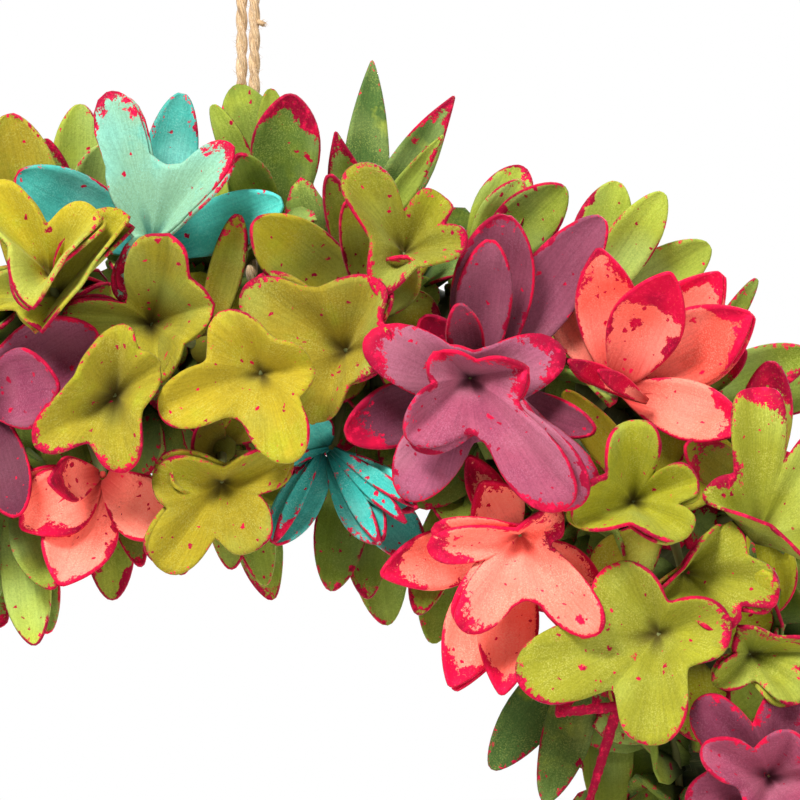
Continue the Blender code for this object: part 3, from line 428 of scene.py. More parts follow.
# Settling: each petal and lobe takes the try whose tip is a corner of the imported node


def cornersOf(node):
    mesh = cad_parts[node].data
    tree = KDTree(len(mesh.vertices))
    for index, vert in enumerate(mesh.vertices):
        tree.insert(vert.co, index)
    tree.balance()
    return tree


def triedChord(plan, change):
    swing, pitch, scale = change
    chord = (plan["tip"] - plan["root"]) * scale
    side = chord.cross(plan["facing"]).normalized()
    return turned(turned(chord, math.radians(swing), plan["facing"]), math.radians(pitch), side)


def triedLobe(plan, lobe, change):
    closing, scale = change
    vector = plan["tips"][lobe][0]
    return turned(vector * scale, math.radians(closing), vector.cross(plan["axis"]).normalized())


def bestTry(tries, corners, root, chordOf):
    chords = [chordOf(change) for change in tries]
    misses = [corners.find(root + chord)[2] for chord in chords]
    least = min(range(len(tries)), key=lambda order: (round(misses[order] / (0.02 * mm)), order))
    return chords[least], tries[least][-1], misses[least]


def settled(plan, corners):
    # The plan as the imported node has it, and how far its tips lie from the node's own corners
    if plan["kind"] == "cup":
        found = []
        for lobe in range(len(plan["tips"])):
            chordOf = lambda change: triedLobe(plan, lobe, change)
            found.append(bestTry(lobeTries, corners, plan["throat"], chordOf))
        tips = [(one[0], tip[1]) for one, tip in zip(found, plan["tips"])]
        return {**plan, "tips": tips}, max(one[2] for one in found)
    chord, scale, miss = bestTry(petalTries, corners, plan["root"], lambda change: triedChord(plan, change))
    return {**plan, "tip": plan["root"] + chord, "width": plan["width"] * scale}, miss


# Sheets: each petal, leaf and cup is a thin curled skin with its rim distance and grain kept for the paint

sheets = {
    "thick": 1.0 * mm, "perLobe": 26, "rings": 12, "tipCurl": 0.5, "rollFrom": 0.72,
    "waver": 1.8 * mm, "rimRoll": 1.9 * mm, "fold": 0.6 * mm, "spoon": 1.6 * mm,
    "layerGap": 1.6 * mm, "notchRound": 1.5 * mm, "funnel": (0.34, 0.30), "frontRoom": 5.0 * mm,
}
# Every sheet's vertices keep these: the grain's own coordinates, then distances for the paint, then its tint
paintLayers = ("grain", "paint", "tint")
# Each blade's outline: where it is widest, how full it is and how broad its foot is
outlines = {
    "petal": (1.3, 0.52, 0.22), "ovalPetal": (1.15, 0.76, 0.22), "roundLeaf": (1.4, 0.56, 0),
    "pointedLeaf": (0.8, 0.9, 0),
}


def layersOf(bm, *names):
    return [bm.verts.layers.float_vector[name] for name in names]


def newMesh():
    bm = bmesh.new()
    for layer in paintLayers:
        bm.verts.layers.float_vector.new(layer)
    return bm


def discTemplate(lobes):
    # A flat disc of rings that is shaped into a cup
    bm = newMesh()
    rings = sheets["rings"]
    radii = [(step / rings) ** 0.8 for step in range(1, rings + 1)]
    segments = lobes * sheets["perLobe"]
    bmesh.ops.create_circle(bm, segments=segments, radius=radii[0], cap_ends=True, cap_tris=True)
    border = [edge for edge in bm.edges if edge.is_boundary]
    for inner, outer in zip(radii, radii[1:]):
        grown = bmesh.ops.extrude_edge_only(bm, edges=border)["geom"]
        raised = {part for part in grown if isinstance(part, bmesh.types.BMVert)}
        for vert in raised:
            vert.co *= outer / inner
        edges = [part for part in grown if isinstance(part, bmesh.types.BMEdge)]
        border = [edge for edge in edges if raised.issuperset(edge.verts)]
    return bm


def gridTemplate(grid):
    bm = newMesh()
    bmesh.ops.create_grid(bm, x_segments=grid[0], y_segments=grid[1], size=1)
    return bm


templates = {lobes: discTemplate(lobes) for lobes in (3, 4, 5)}
grids = {"petal": (10, 18), "roundLeaf": (8, 16), "pointedLeaf": (8, 16), "scale": (2, 5)}
templates.update({kind: gridTemplate(grid) for kind, grid in grids.items()})


def outline(share, kind):
    # Half width of a petal or leaf at this share of its length
    power, fullness, foot = outlines[kind]
    if share > 0.999 or (share < 0.001 and foot == 0):
        return 0
    return foot * (1 - share) ** 2 + math.sin(math.pi * share**power) ** fullness


def lobeReach(length, angle, shape):
    # How far an oval lobe reaches at this angle from its own line
    width = min(shape[0] * mm, 0.62 * length)
    long = min(0.64 * length, shape[1] * width)
    middle = length - long
    cosine, sine = math.cos(angle), math.sin(angle)
    square = (cosine / long) ** 2 + (sine / width) ** 2
    half = middle * cosine / long**2
    rest = half * half - square * ((middle / long) ** 2 - 1)
    return (half + math.sqrt(max(0, rest))) / square


def swung(start, end, axis, share):
    # Turns evenly about the axis and rises softly, so that a funnel has no crease at a lobe or a notch
    rises = [part.dot(axis) for part in (start, end)]
    flats = [part - axis * rise for part, rise in zip((start, end), rises)]
    straight = (start * (1 - share) + end * share).normalized()
    sure = min(1, max(0, (flats[1].length - 0.25) / 0.2))
    if flats[0].length < 0.1 or sure == 0:
        return straight
    angle = math.atan2(axis.dot(flats[0].cross(flats[1])), flats[0].dot(flats[1]))
    low, high = (math.asin(max(-1, min(1, rise))) for rise in rises)
    height = low + (high - low) * share * share * (3 - 2 * share)
    flat = turned(flats[0].normalized(), angle * share, axis)
    curved = flat * math.cos(height) + axis * math.sin(height)
    return (straight * (1 - sure) + curved * sure).normalized()


def rimOf(tips, axis, turn, shape):
    # The rim's place at this share of a full turn, and the share of the way from lobe to notch
    count = len(tips)
    nearest = math.floor(turn * count + 0.5)
    lobe = nearest % count
    offset = turn * count - nearest
    step = 1 if offset > 0 else -1
    vector, notch = tips[lobe]
    other, otherNotch = tips[(lobe + step) % count]
    notch = notch if step > 0 else otherNotch
    share = min(1, 2 * abs(offset))
    middle = (vector.normalized() + other.normalized() + axis * 0.25).normalized()
    notchReach = notch * (vector.length + other.length) / 2
    direction = swung(vector.normalized(), middle, axis, share)
    reach = lobeReach(vector.length, vector.angle(direction, 0), shape)
    outer = (reach + notchReach + math.hypot(reach - notchReach, sheets["notchRound"])) / 2
    return direction * (notchReach + (outer - notchReach) * (1 - share**4)), share


def wander(spot, size, shift):
    return noise.noise(spot / size + Vector((shift, shift * 0.7, -shift)))


def cupSpots(bm, plan, shift):
    # Moves the flat disc into the cup, and returns each vertex's grain and share of the way to the rim
    axis, throat = plan["axis"], plan["throat"]
    draw = random.Random(shift)
    # Some lobes curl back at their rims, and some close inwards a little
    curls = [draw.uniform(-0.3, 1.9) for tip in plan["tips"]]
    facts = {}
    for vert in bm.verts:
        reach = vert.co.xy.length
        angle = math.atan2(vert.co.x, vert.co.y)
        turn = (angle / math.tau) % 1
        rim, share = rimOf(plan["tips"], axis, turn, plan["lobe"])
        curl = curls[math.floor(turn * len(curls) + 0.5) % len(curls)]
        if reach < 1e-6:
            vert.co = throat
            facts[vert] = (Vector((0, 0, 0)), 0)
            continue
        flat = rim - axis * rim.dot(axis)
        rise, spread = sheets["funnel"]
        control = axis * rim.length * rise + flat * spread
        spot = control * 2 * reach * (1 - reach) + rim * reach * reach
        outward = flat.normalized() if flat.length > 1e-6 else axis.orthogonal()
        waver = wander(throat + spot, 14 * mm, shift) * sheets["waver"] * reach
        fold = math.cos(math.pi * share) * sheets["fold"] * reach * (1 - reach) * 2
        spoon = math.sin(math.pi * share) ** 2 * sheets["spoon"] * reach**3
        curl = curl * (1 - share) + 0.4 * share
        roll = max(0, (reach - sheets["rollFrom"]) / (1 - sheets["rollFrom"])) ** 2 * sheets["rimRoll"] * curl
        spot = spot + axis * (waver + spoon - fold - roll) + outward * (roll * 0.3 + waver * 0.5)
        grain = Vector((math.cos(angle), math.sin(angle), 0)) * 24 + Vector((0, 0, reach * 2.2 + shift * 7))
        vert.co = throat + spot
        facts[vert] = (grain, reach)
    return facts, [throat + vector for vector, notch in plan["tips"]], axis


def bladeAxes(plan):
    chord = plan["tip"] - plan["root"]
    normal = squared(plan["facing"], chord.normalized())
    return chord, normal, chord.normalized().cross(normal)


def bladeSpots(bm, plan, shift):
    # Moves the flat grid into the blade, and returns what cupSpots does
    root, tip = plan["root"], plan["tip"]
    chord, normal, side = bladeAxes(plan)
    facts = {}
    for vert in bm.verts:
        across = vert.co.x
        share = 1 - (1 - (vert.co.y + 1) / 2) ** 1.8
        half = plan["width"] / 2 * outline(share, plan.get("cut", plan["kind"]))
        sag = -plan["bow"] * 4 * share * (1 - share) * chord.length
        rise = (plan["cup"] * across * across + plan["keel"] * abs(across) ** 1.4) * half
        spot = root + chord * share + side * across * half
        waver = wander(spot, 13 * mm, shift) * sheets["waver"] * share
        curl = -max(0, share - 0.7) ** 2 * chord.length * sheets["tipCurl"]
        grain = Vector((across * half / mm, shift * 7, share * 2.2))
        sway = wander(spot, 20 * mm, -shift) * 0.8 * mm * share
        vert.co = spot + normal * (sag + rise + waver + curl) + side * sway
        facts[vert] = (grain, share)
    return facts, [tip], normal


def keepPaintFacts(bm, facts, tips, tint, eye):
    grainLayer, paintLayer, tintLayer = layersOf(bm, *paintLayers)
    rim = [vert for vert in bm.verts if vert.is_boundary and facts[vert][1] > 0.12]
    tree = KDTree(len(rim))
    for index, vert in enumerate(rim):
        tree.insert(vert.co, index)
    tree.balance()
    for vert in bm.verts:
        grain, share = facts[vert]
        toTip = min((vert.co - tip).length for tip in tips)
        vert[grainLayer] = grain
        vert[paintLayer] = (tree.find(vert.co)[2] / mm, toTip / mm, share / eye)
        vert[tintLayer] = tint


def thicken(bm, face):
    # Gives the skin its back, away from the side that it faces
    bmesh.ops.remove_doubles(bm, verts=bm.verts, dist=0.01 * mm)
    bmesh.ops.recalc_face_normals(bm, faces=bm.faces)
    bm.normal_update()
    if sum(part.normal.dot(face) * part.calc_area() for part in bm.faces) < 0:
        bmesh.ops.reverse_faces(bm, faces=bm.faces)
        bm.normal_update()
    depthAt = {vert.co[:]: vert.normal * sheets["thick"] for vert in bm.verts}
    grown = bmesh.ops.extrude_face_region(bm, geom=bm.faces[:], use_keep_orig=True)["geom"]
    for part in grown:
        if isinstance(part, bmesh.types.BMVert):
            part.co -= depthAt[part.co[:]]


def keepBehindFront(bm):
    # The nearer a vertex is to the front of the CAD box, the more it is held back
    room = sheets["frontRoom"]
    start = cadBox[0][1] + room
    for vert in bm.verts:
        if vert.co.y < start:
            vert.co.y = start - room * (1 - math.exp((vert.co.y - start) / room))


def addSheet(piece, plan, tint):
    # Shapes one sheet, keeps its paint facts, gives it thickness and puts it into the piece
    cup = plan["kind"] == "cup"
    bm = templates[len(plan["tips"]) if cup else plan["kind"]].copy()
    facts, tips, face = (cupSpots if cup else bladeSpots)(bm, plan, tint[0] * 10)
    keepPaintFacts(bm, facts, tips, tint, plan.get("eye", 1))
    thicken(bm, face)
    keepBehindFront(bm)
    bmesh.ops.recalc_face_normals(bm, faces=bm.faces)
    poured = bpy.data.meshes.new("poured")
    bm.to_mesh(poured)
    bm.free()
    piece.from_mesh(poured)
    bpy.data.meshes.remove(poured)


def behind(plan, draw):
    # A second skin a little behind the first, turned so that its rim shows past it
    if plan["kind"] == "cup":
        axis = plan["axis"]
        angle = math.radians(draw.choice((-5, 5)) + draw.uniform(-1, 1))
        tips = []
        for vector, notch in plan["tips"]:
            moved = vector * draw.uniform(0.96, 1.03) - axis * 1.2 * mm
            tips.append((turned(moved, angle, axis), notch * 0.95))
        return {**plan, "throat": plan["throat"] - axis * sheets["layerGap"], "tips": tips}
    chord, normal, side = bladeAxes(plan)
    shift = normal * -sheets["layerGap"]
    tip = plan["tip"] + shift + side * draw.choice((-1, 1)) * draw.uniform(0.8, 1.8) * mm
    return {**plan, "root": plan["root"] + shift * 0.6, "tip": tip}


# Pieces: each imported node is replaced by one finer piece


def finished(name, bm, node, slot, *materials):
    mesh = bpy.data.meshes.new(name)
    bm.to_mesh(mesh)
    bm.free()
    for polygon in mesh.polygons:
        polygon.use_smooth = True
    for material in materials:
        mesh.materials.append(material)
    obj = bpy.data.objects.new(name, mesh)
    bpy.context.scene.collection.objects.link(obj)
    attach(obj, "root")
    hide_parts(node)
    return obj


def asStem(made, material=1):
    for face in {face for vert in made for face in vert.link_faces}:
        face.material_index = material


def addRod(piece, start, end, startRadius, endRadius, sides=10, material=1):
    line = end - start
    turn = line.to_track_quat("Z", "Y").to_matrix().to_4x4()
    made = bmesh.ops.create_cone(
        piece, cap_ends=True, cap_tris=False, segments=sides, radius1=startRadius, radius2=endRadius,
        depth=line.length, matrix=Matrix.Translation((start + end) / 2) @ turn,
    )["verts"]
    asStem(made, material)


def addKnob(piece, spot, radius):
    # The bloom's own foot, which has its dye and no paint
    made = bmesh.ops.create_icosphere(
        piece, subdivisions=3, radius=radius, matrix=Matrix.Translation(spot)
    )["verts"]
    paint, tint = layersOf(piece, "paint", "tint")
    for vert in made:
        vert.co += (vert.co - spot) * 0.12 * noise.noise(vert.co * 500)
        # The foot counts as deep in the throat, so it takes the throat's painted shade
        vert[paint] = (30, 60, 0.16)
        vert[tint] = (0.5, 0.3, 0)


def addPaintedTwigs(piece, base, runs):
    # Rough twigs with crimson all over them. The first run starts from the plant's own base
    draw = random.Random(seed + 300)
    paint, tint = layersOf(piece, "paint", "tint")
    for start, end in runs:
        start = placeInPhoto(*start) if start else base
        end = placeInPhoto(*end)
        before = set(piece.verts)
        addRod(piece, start, end, stems["twigEnds"][0], stems["twigEnds"][1], 9, 0)
        made = [vert for vert in piece.verts if vert not in before]
        edges = {edge for vert in made for edge in vert.link_edges}
        edges = [edge for edge in edges if edge.calc_length() > 4 * mm]
        bmesh.ops.subdivide_edges(piece, edges=edges, cuts=22)
        for vert in piece.verts:
            if vert not in before:
                vert.co += jitter(draw, 1) * 0.22 * mm
                vert[paint] = (0, 0, 1)
                vert[tint] = (4, 0.2, 0)


def jitter(draw, most):
    return Vector([draw.uniform(-most, most) for axis in range(3)])


def footOf(base, ringTree):
    flat = base - centre
    flat.y = 0
    tubeCentre = centre + flat.normalized() * ring["radius"]
    out = (base - tubeCentre).normalized()
    return ringTree.ray_cast(tubeCentre + out * ring["rayStart"], -out)[0]


def addTwig(piece, clock, span, side):
    lying = Matrix.Rotation(math.radians(90), 4, "Y")
    made = bmesh.ops.create_circle(piece, segments=10, radius=stems["branch"], matrix=lying)["verts"]
    bmesh.ops.translate(piece, verts=made, vec=tubePoint(0, side, stems["twigReach"]) - centre)
    turn = Matrix.Rotation(math.radians(clock), 3, "Y")
    bmesh.ops.rotate(piece, verts=made, cent=(0, 0, 0), matrix=turn)
    edges = list({edge for vert in made for edge in vert.link_edges})
    old = set(piece.verts) - set(made)
    bmesh.ops.spin(
        piece, geom=made + edges, cent=(0, 0, 0), axis=(0, 1, 0), angle=math.radians(span), steps=24
    )
    new = [vert for vert in piece.verts if vert not in old]
    border = list({edge for vert in new for edge in vert.link_edges if edge.is_boundary})
    bmesh.ops.holes_fill(piece, edges=border)
    bmesh.ops.recalc_face_normals(piece, faces=list({face for vert in new for face in vert.link_faces}))
    bmesh.ops.translate(piece, verts=new, vec=centre)
    asStem(new)


# What the photo shows on single sheets, by their order: how much crimson is brushed on, how light or dark the
# sheet is (its dye's own tone, and partly painted light and shade where it stands lit or in shade),
# how much of the other dye it takes, and how far its eye spreads
touches = {
    "teal_north": {0: {"dye": 1.0, "brush": 0.9}, 1: {"brush": 0.9}},
    "lime_northwest": {
        0: {"brush": 0.2, "tone": 0.6}, 1: {"brush": 0.3, "tone": 0.4}, 2: {"eye": 1.8, "dye": 0.3},
        3: {"dye": 0.35, "brush": 2.4, "tone": 1.0},
    },
    "lime_north": {0: {"eye": 1.5, "dye": 0.25}, 1: {"tone": 0.3}},
    "lime_centre": {0: {"tone": 0.2}, 1: {"tone": 0.1}, 2: {"brush": 0.1, "tone": 0.2}},
    "lime_inner": {0: {"tone": 0.0}},
    "lime_southeast": {0: {"tone": 0.5, "dye": 0.1, "lobe": (14, 1.2)}, 1: {"tone": 0.5}},
    "lime_east": {0: {"tone": 0.1, "dye": 0, "lobe": (16, 1.0)}, 1: {"brush": 1.2, "tone": 0.6}},
    "lime_far_east": {0: {"brush": 2.0, "tone": 0.95}, 1: {"brush": 2.4}, 2: {"brush": 2.0}},
    "leaves_outer_1": {0: {"brush": 0.1}},
    "leaves_outer_2": {
        0: {"brush": -0.2, "dye": 0.5, "tone": 0.3}, 1: {"brush": -0.2, "dye": 0.3},
        2: {"brush": 0.3, "dye": 0.1, "tone": 0.1}, 3: {"brush": 2.2, "dye": 0.7, "tone": 0.9},
    },
    "leaves_outer_3": {0: {"dye": 2.0, "brush": 0}, 1: {"dye": 0.9, "brush": 0.6}},
    "leaves_outer_4": {0: {"dye": 0}, 1: {"dye": 0}, 2: {"dye": 0}},
    "leaves_outer_5": {0: {"dye": 0}, 1: {"dye": 0}, 2: {"dye": 0.2}},
    "leaves_outer_6": {0: {"dye": 0.3}, 1: {"dye": 0.1, "brush": 1.3}, 2: {"brush": 1.2}},
    "leaves_inner_6": {0: {"dye": 2.0, "brush": 1.4, "tone": 0.3}, 1: {"dye": 0.9}},
    "coral_east": {
        0: {"brush": 0.2}, 1: {"brush": 0.6}, 2: {"brush": 2.4}, 3: {"brush": 1.6}, 4: {"brush": 2.2},
        5: {"brush": 1.5}, 6: {"width": 5 * mm, "brush": 1.2},
    },
    "coral_inner": {
        0: {"brush": 0.35, "tone": 0.5}, 1: {"brush": 0.4, "tone": 0.9}, 2: {"brush": 0.45, "tone": 0.9},
        3: {"brush": 0.45, "tone": 0.9},
    },
    "coral_west": {
        0: {"brush": 0.9, "tone": 0.8}, 1: {"brush": 0.15, "tone": 0.8}, 2: {"brush": 0.3, "tone": 0.9},
        3: {"brush": 0.8, "tone": 1.0},
    },
    "mauve_front": {
        0: {"brush": 0.4, "tone": 0.5, "lobe": (13, 1.3)}, 1: {"brush": 0.5, "tone": 0.4},
        2: {"tone": -0.2}, 3: {"tone": 0.0}, 4: {"tone": -0.1}, 5: {"tone": -0.2}, 6: {"tone": -0.1},
        7: {"tone": -0.4, "brush": 0.9}, 8: {"tone": -0.3},
    },
    "mauve_west": {
        0: {"brush": 0.9, "tone": 0.4}, 1: {"brush": 0.7, "tone": 0.5}, 2: {"brush": 0.4, "tone": -0.8},
        3: {"tone": -0.6},
    },
    "teal_fan": {0: {"brush": 0.8}, 1: {"brush": 0.9}, 2: {"brush": 0.6}, 4: {"brush": 2.0}},
    "mauve_rosette": {
        0: {"brush": 0.4, "tone": 0.4, "lobe": (10, 1.0)},
        1: {"brush": 0.5, "tone": 0.0, "lobe": (11, 1.0)},
    },
}


# How a colour's petals are cut, where they aren't broadest near the tip, and its cups' lobes: half width in
# millimetres, and how much longer than wide their rounding is
petalCuts = {"coral": "ovalPetal"}
lobeShapes = {"coral": (8, 2.1), "teal": (7.5, 1.9), "mauve": (10.5, 1.5), "lime": (11.5, 1.4)}

# Narrow petals seen on edge in the heart of a bloom: places in the photo of foot and tip, and width in mm
heartPetals = {
    "coral_east": (((652, 404, 43), (572, 360, 62), 5.5), ((650, 404, 45), (603, 372, 64), 4.5)),
    "teal_fan": (
        ((326, 448, 36), (379, 540, 59), 4.5), ((328, 448, 37), (404, 520, 63), 4.0),
        ((330, 446, 38), (413, 504, 65), 4.0), ((334, 446, 37), (236, 478, 50), 3.0),
        ((322, 448, 37), (276, 538, 53), 4.0),
    ),
}

# Bare twigs at the inner edge, as places in the photo
paintedTwigs = {
    "leaves_inner_6": (
        (None, (618, 706, 42)), ((619, 706, 42), (556, 713, 40)), ((617, 708, 42), (588, 806, 34)),
    ),
}


def dressPlant(name, colour, base, knob, rods, plans, ringTree, twig=None):
    corners = cornersOf(name)
    draw = random.Random(name)
    piece = newMesh()
    if twig:
        addTwig(piece, *twig)
    if rods:
        addRod(piece, footOf(base, ringTree), base, rods[0][1], rods[0][2])
    for end, startRadius, endRadius in rods[1:]:
        addRod(piece, base, end, startRadius, endRadius)
    if knob:
        addKnob(piece, base, knob * (1 if plans[0]["kind"] == "cup" else 0.26))
    addPaintedTwigs(piece, base, paintedTwigs.get(name, ()))
    for order, plan in enumerate(plans):
        touch = touches.get(name, {}).get(order, {})
        if plan["kind"] == "cup":
            plan["lobe"] = lobeShapes[colour]
        if plan["kind"] == "petal":
            plan["cut"] = petalCuts.get(colour, "petal")
        plan.update(touch)
        found, miss = settled(plan, corners)
        if miss > 0.1 * mm:
            print(name, plan["kind"], "has no corner in the packed node, nearest", round(miss / mm, 2), "mm")
            if plan["kind"] != "cup":
                continue
        brush, tone, dye = draw.random(), draw.random(), draw.uniform(*otherShare[colour])
        tint = (touch.get("brush", brush), touch.get("tone", tone), touch.get("dye", dye))
        addSheet(piece, found, tint)
        # Some sheets get a second skin behind them, with a darker tone: painted shade behind the front skin
        share = {"cup": 1, "petal": 0.25}.get(plan["kind"], 0) * doubledShare[colour]
        if draw.random() < share:
            addSheet(piece, behind(found, draw), (draw.random(), tint[1] * 0.7, tint[2]))
    for foot, tip, width in heartPetals.get(name, ()):
        plan = petalPlan(placeInPhoto(*foot), placeInPhoto(*tip), width * mm, cut="ovalPetal")
        addSheet(piece, plan, (1.5, 0.5, draw.uniform(*otherShare[colour])))
    return finished(name + "_skins", piece, name, colour, paints[colour], paints["stem"])


# Looks: dyed husk with crimson paint brushed on its rims and tips


class Nodes:
    # Builds one shader tree. Each call adds a node and gives back its output
    def __init__(self, tree):
        self.tree = tree

    def add(self, kind, **settings):
        node = self.tree.nodes.new("ShaderNode" + kind)
        order = len(self.tree.nodes)
        node.location = (order % 12 * 190, order // 12 * -300)
        for name, value in settings.items():
            setattr(node, name, value)
        return node

    def put(self, source, target):
        # Links a socket to an input, or sets the input's own value
        if isinstance(source, bpy.types.NodeSocket):
            self.tree.links.new(source, target)
        else:
            target.default_value = (*source, 1) if target.type == "RGBA" else source

    def made(self, kind, inputs, output=0, **settings):
        node = self.add(kind, **settings)
        for key, source in inputs.items():
            self.put(source, node.inputs[key])
        return node.outputs[output]

    def maths(self, operation, *sources):
        return self.made("Math", dict(enumerate(sources)), operation=operation)

    def plus(self, first, second):
        return self.maths("ADD", first, second)

    def minus(self, first, second):
        return self.maths("SUBTRACT", first, second)

    def times(self, first, second):
        return self.maths("MULTIPLY", first, second)

    def timesPlus(self, first, second, third):
        return self.maths("MULTIPLY_ADD", first, second, third)

    def swayed(self, pattern, amount, base):
        # The base moved up and down by a noise
        return self.timesPlus(self.minus(pattern, 0.5), amount, base)

    def step(self, value, low, high, to=(0, 1)):
        # A smooth step of the value from low to high
        inputs = {"Value": value, "From Min": low, "From Max": high, "To Min": to[0], "To Max": to[1]}
        return self.made("MapRange", inputs, "Result", interpolation_type="SMOOTHSTEP")

    def noise(self, vector, scale, detail=2.0, rough=0.5, output="Fac"):
        inputs = {"Vector": vector, "Scale": scale, "Detail": detail, "Roughness": rough}
        return self.made("TexNoise", inputs, output)

    def drawnOut(self, grain, stretch, detail=2.0, rough=0.5):
        # A noise stretched along the grain
        vector = self.made("VectorMath", {0: grain, 1: stretch}, operation="MULTIPLY")
        return self.noise(vector, 1.0, detail, rough)

    def mix(self, factor, first, second, blend="MIX"):
        # A colour mix has its sockets at these numbers
        return self.made("Mix", {0: factor, 6: first, 7: second}, 2, data_type="RGBA", blend_type=blend)

    def parts(self, vector):
        node = self.add("SeparateXYZ")
        self.put(vector, node.inputs[0])
        return node.outputs

    def attribute(self, name):
        return self.made("Attribute", {}, "Vector", attribute_type="GEOMETRY", attribute_name=name)

    def surface(self, shader, colour, rough, height, bump):
        inputs = {"Height": height, "Strength": bump[0], "Distance": bump[1]}
        normal = self.made("Bump", inputs, "Normal")
        for label, source in {"Base Color": colour, "Roughness": rough, "Normal": normal}.items():
            self.put(source, shader.inputs[label])


def newGroup(name, inputs, outputs):
    tree = bpy.data.node_groups.new(name, "ShaderNodeTree")
    for way, sockets in (("INPUT", inputs), ("OUTPUT", outputs)):
        for label, kind in sockets.items():
            tree.interface.new_socket(label, in_out=way, socket_type="NodeSocket" + kind)
    start, end = tree.nodes.new("NodeGroupInput"), tree.nodes.new("NodeGroupOutput")
    return Nodes(tree), start.outputs, end.inputs


# What both groups read of a sheet
sheetSockets = dict.fromkeys(("Place", "Grain", "Rim And Tip", "Sheet"), "Vector")
# Spatter's sizes of drop: cells a metre, how seldom a cell has a drop, and its size
spatterDrops = ((400, 0.36, 0.31), (150, 0.57, 0.25), (95, 0.72, 0.25))
spatterPull = 0.0028
crimson = {"bright": (0.62, 0.002, 0.040), "dark": (0.30, 0.002, 0.028), "thin": (0.74, 0.008, 0.062)}


def crimsonPaintGroup():
    # A painted line that comes and goes on every rim, dry-brushed tips, and spatter
    levels = dict.fromkeys(("Rim Width", "Rim Cover", "Darkening", "Tip Reach", "Spatter"), "Float")
    outputs = {"Mask": "Float", "Color": "Color"}
    nodes, given, result = newGroup("crimsonPaint", {**sheetSockets, **levels}, outputs)
    place = given["Place"]
    toRim, toTip, _ = nodes.parts(given["Rim And Tip"])
    brush, _, dye = nodes.parts(given["Sheet"])
    streak = nodes.drawnOut(given["Grain"], (0.9, 1, 1.2), 3.0, 0.65)
    fuzz = nodes.noise(place, 1700, 1.0)
    blot = nodes.noise(place, 420, 4.0, 0.7)
    swell = nodes.noise(place, 75)
    roam = nodes.noise(place, 48, 1.0)
    # The line is there on some stretches of a rim and missing on others
    cover = nodes.plus(roam, given["Rim Cover"])
    present = nodes.step(nodes.timesPlus(dye, -0.08, cover), 0.94, 1.06)
    # It widens here and there into a patch
    patch = nodes.times(nodes.step(swell, 0.56, 0.72), 2.2)
    width = nodes.times(nodes.plus(nodes.times(swell, given["Rim Width"]), patch), present)
    ragged = nodes.swayed(fuzz, 1.0, nodes.swayed(blot, 2.6, toRim))
    line = nodes.step(nodes.minus(width, ragged), -0.1, 0.25)
    rimMask = nodes.times(line, nodes.step(present, 0, 0.3))
    hair = nodes.timesPlus(present, 0.55, -0.22)
    thread = nodes.step(nodes.minus(hair, toRim), -0.12, 0.12)
    # Round a tip the paint is a broad band on the rim, blotched and torn where the brush ran dry
    reach = nodes.times(nodes.timesPlus(brush, 1.5, 0.2), given["Tip Reach"])
    band = nodes.times(reach, nodes.step(toTip, 3, 20, to=(0.9, 0)))
    band = nodes.times(band, nodes.step(nodes.noise(place, 36, 1.0), 0.40, 0.60, to=(0.2, 1.2)))
    left = nodes.maths("DIVIDE", nodes.minus(band, toRim), 2.6)
    rub = nodes.swayed(fuzz, 0.9, nodes.swayed(streak, 1.6, nodes.swayed(blot, 5.0, left)))
    masks = [rimMask, thread, nodes.step(rub, 0.45, 0.8)]
    # Spatter: small drops, and fewer large ones, thicker in some places than in others
    crowd = nodes.step(roam, 0.35, 0.65, to=(0.16, -0.10))
    pull = {0: nodes.noise(place, 450, output="Color"), 1: (spatterPull,) * 3, 2: place}
    pulled = nodes.made("VectorMath", pull, operation="MULTIPLY_ADD")
    for scale, kept, size in spatterDrops:
        cells = nodes.add("TexVoronoi")
        nodes.put(pulled, cells.inputs["Vector"])
        nodes.put(scale, cells.inputs["Scale"])
        pick = nodes.add("SeparateColor")
        nodes.put(cells.outputs["Color"], pick.inputs[0])
        bumpy = nodes.swayed(fuzz, 0.2, nodes.times(pick.outputs["Green"], size))
        shape = nodes.step(nodes.minus(bumpy, cells.outputs["Distance"]), 0, 0.05)
        often = nodes.plus(nodes.timesPlus(nodes.minus(1.0, given["Spatter"]), 0.38, kept), crowd)
        masks.append(nodes.times(shape, nodes.maths("GREATER_THAN", pick.outputs["Red"], often)))
    mask = masks[0]
    for other in masks[1:]:
        mask = nodes.maths("MAXIMUM", mask, other)
    # The nap's hollows are missed here and there
    nodes.put(nodes.times(mask, nodes.step(fuzz, 0.60, 0.80, to=(1, 0.72))), result["Mask"])
    darker = nodes.step(nodes.plus(swell, given["Darkening"]), 0.38, 0.66)
    shade = nodes.mix(darker, crimson["bright"], crimson["dark"])
    nodes.put(nodes.mix(nodes.step(blot, 0.5, 0.7), shade, crimson["thin"]), result["Color"])
    return nodes.tree


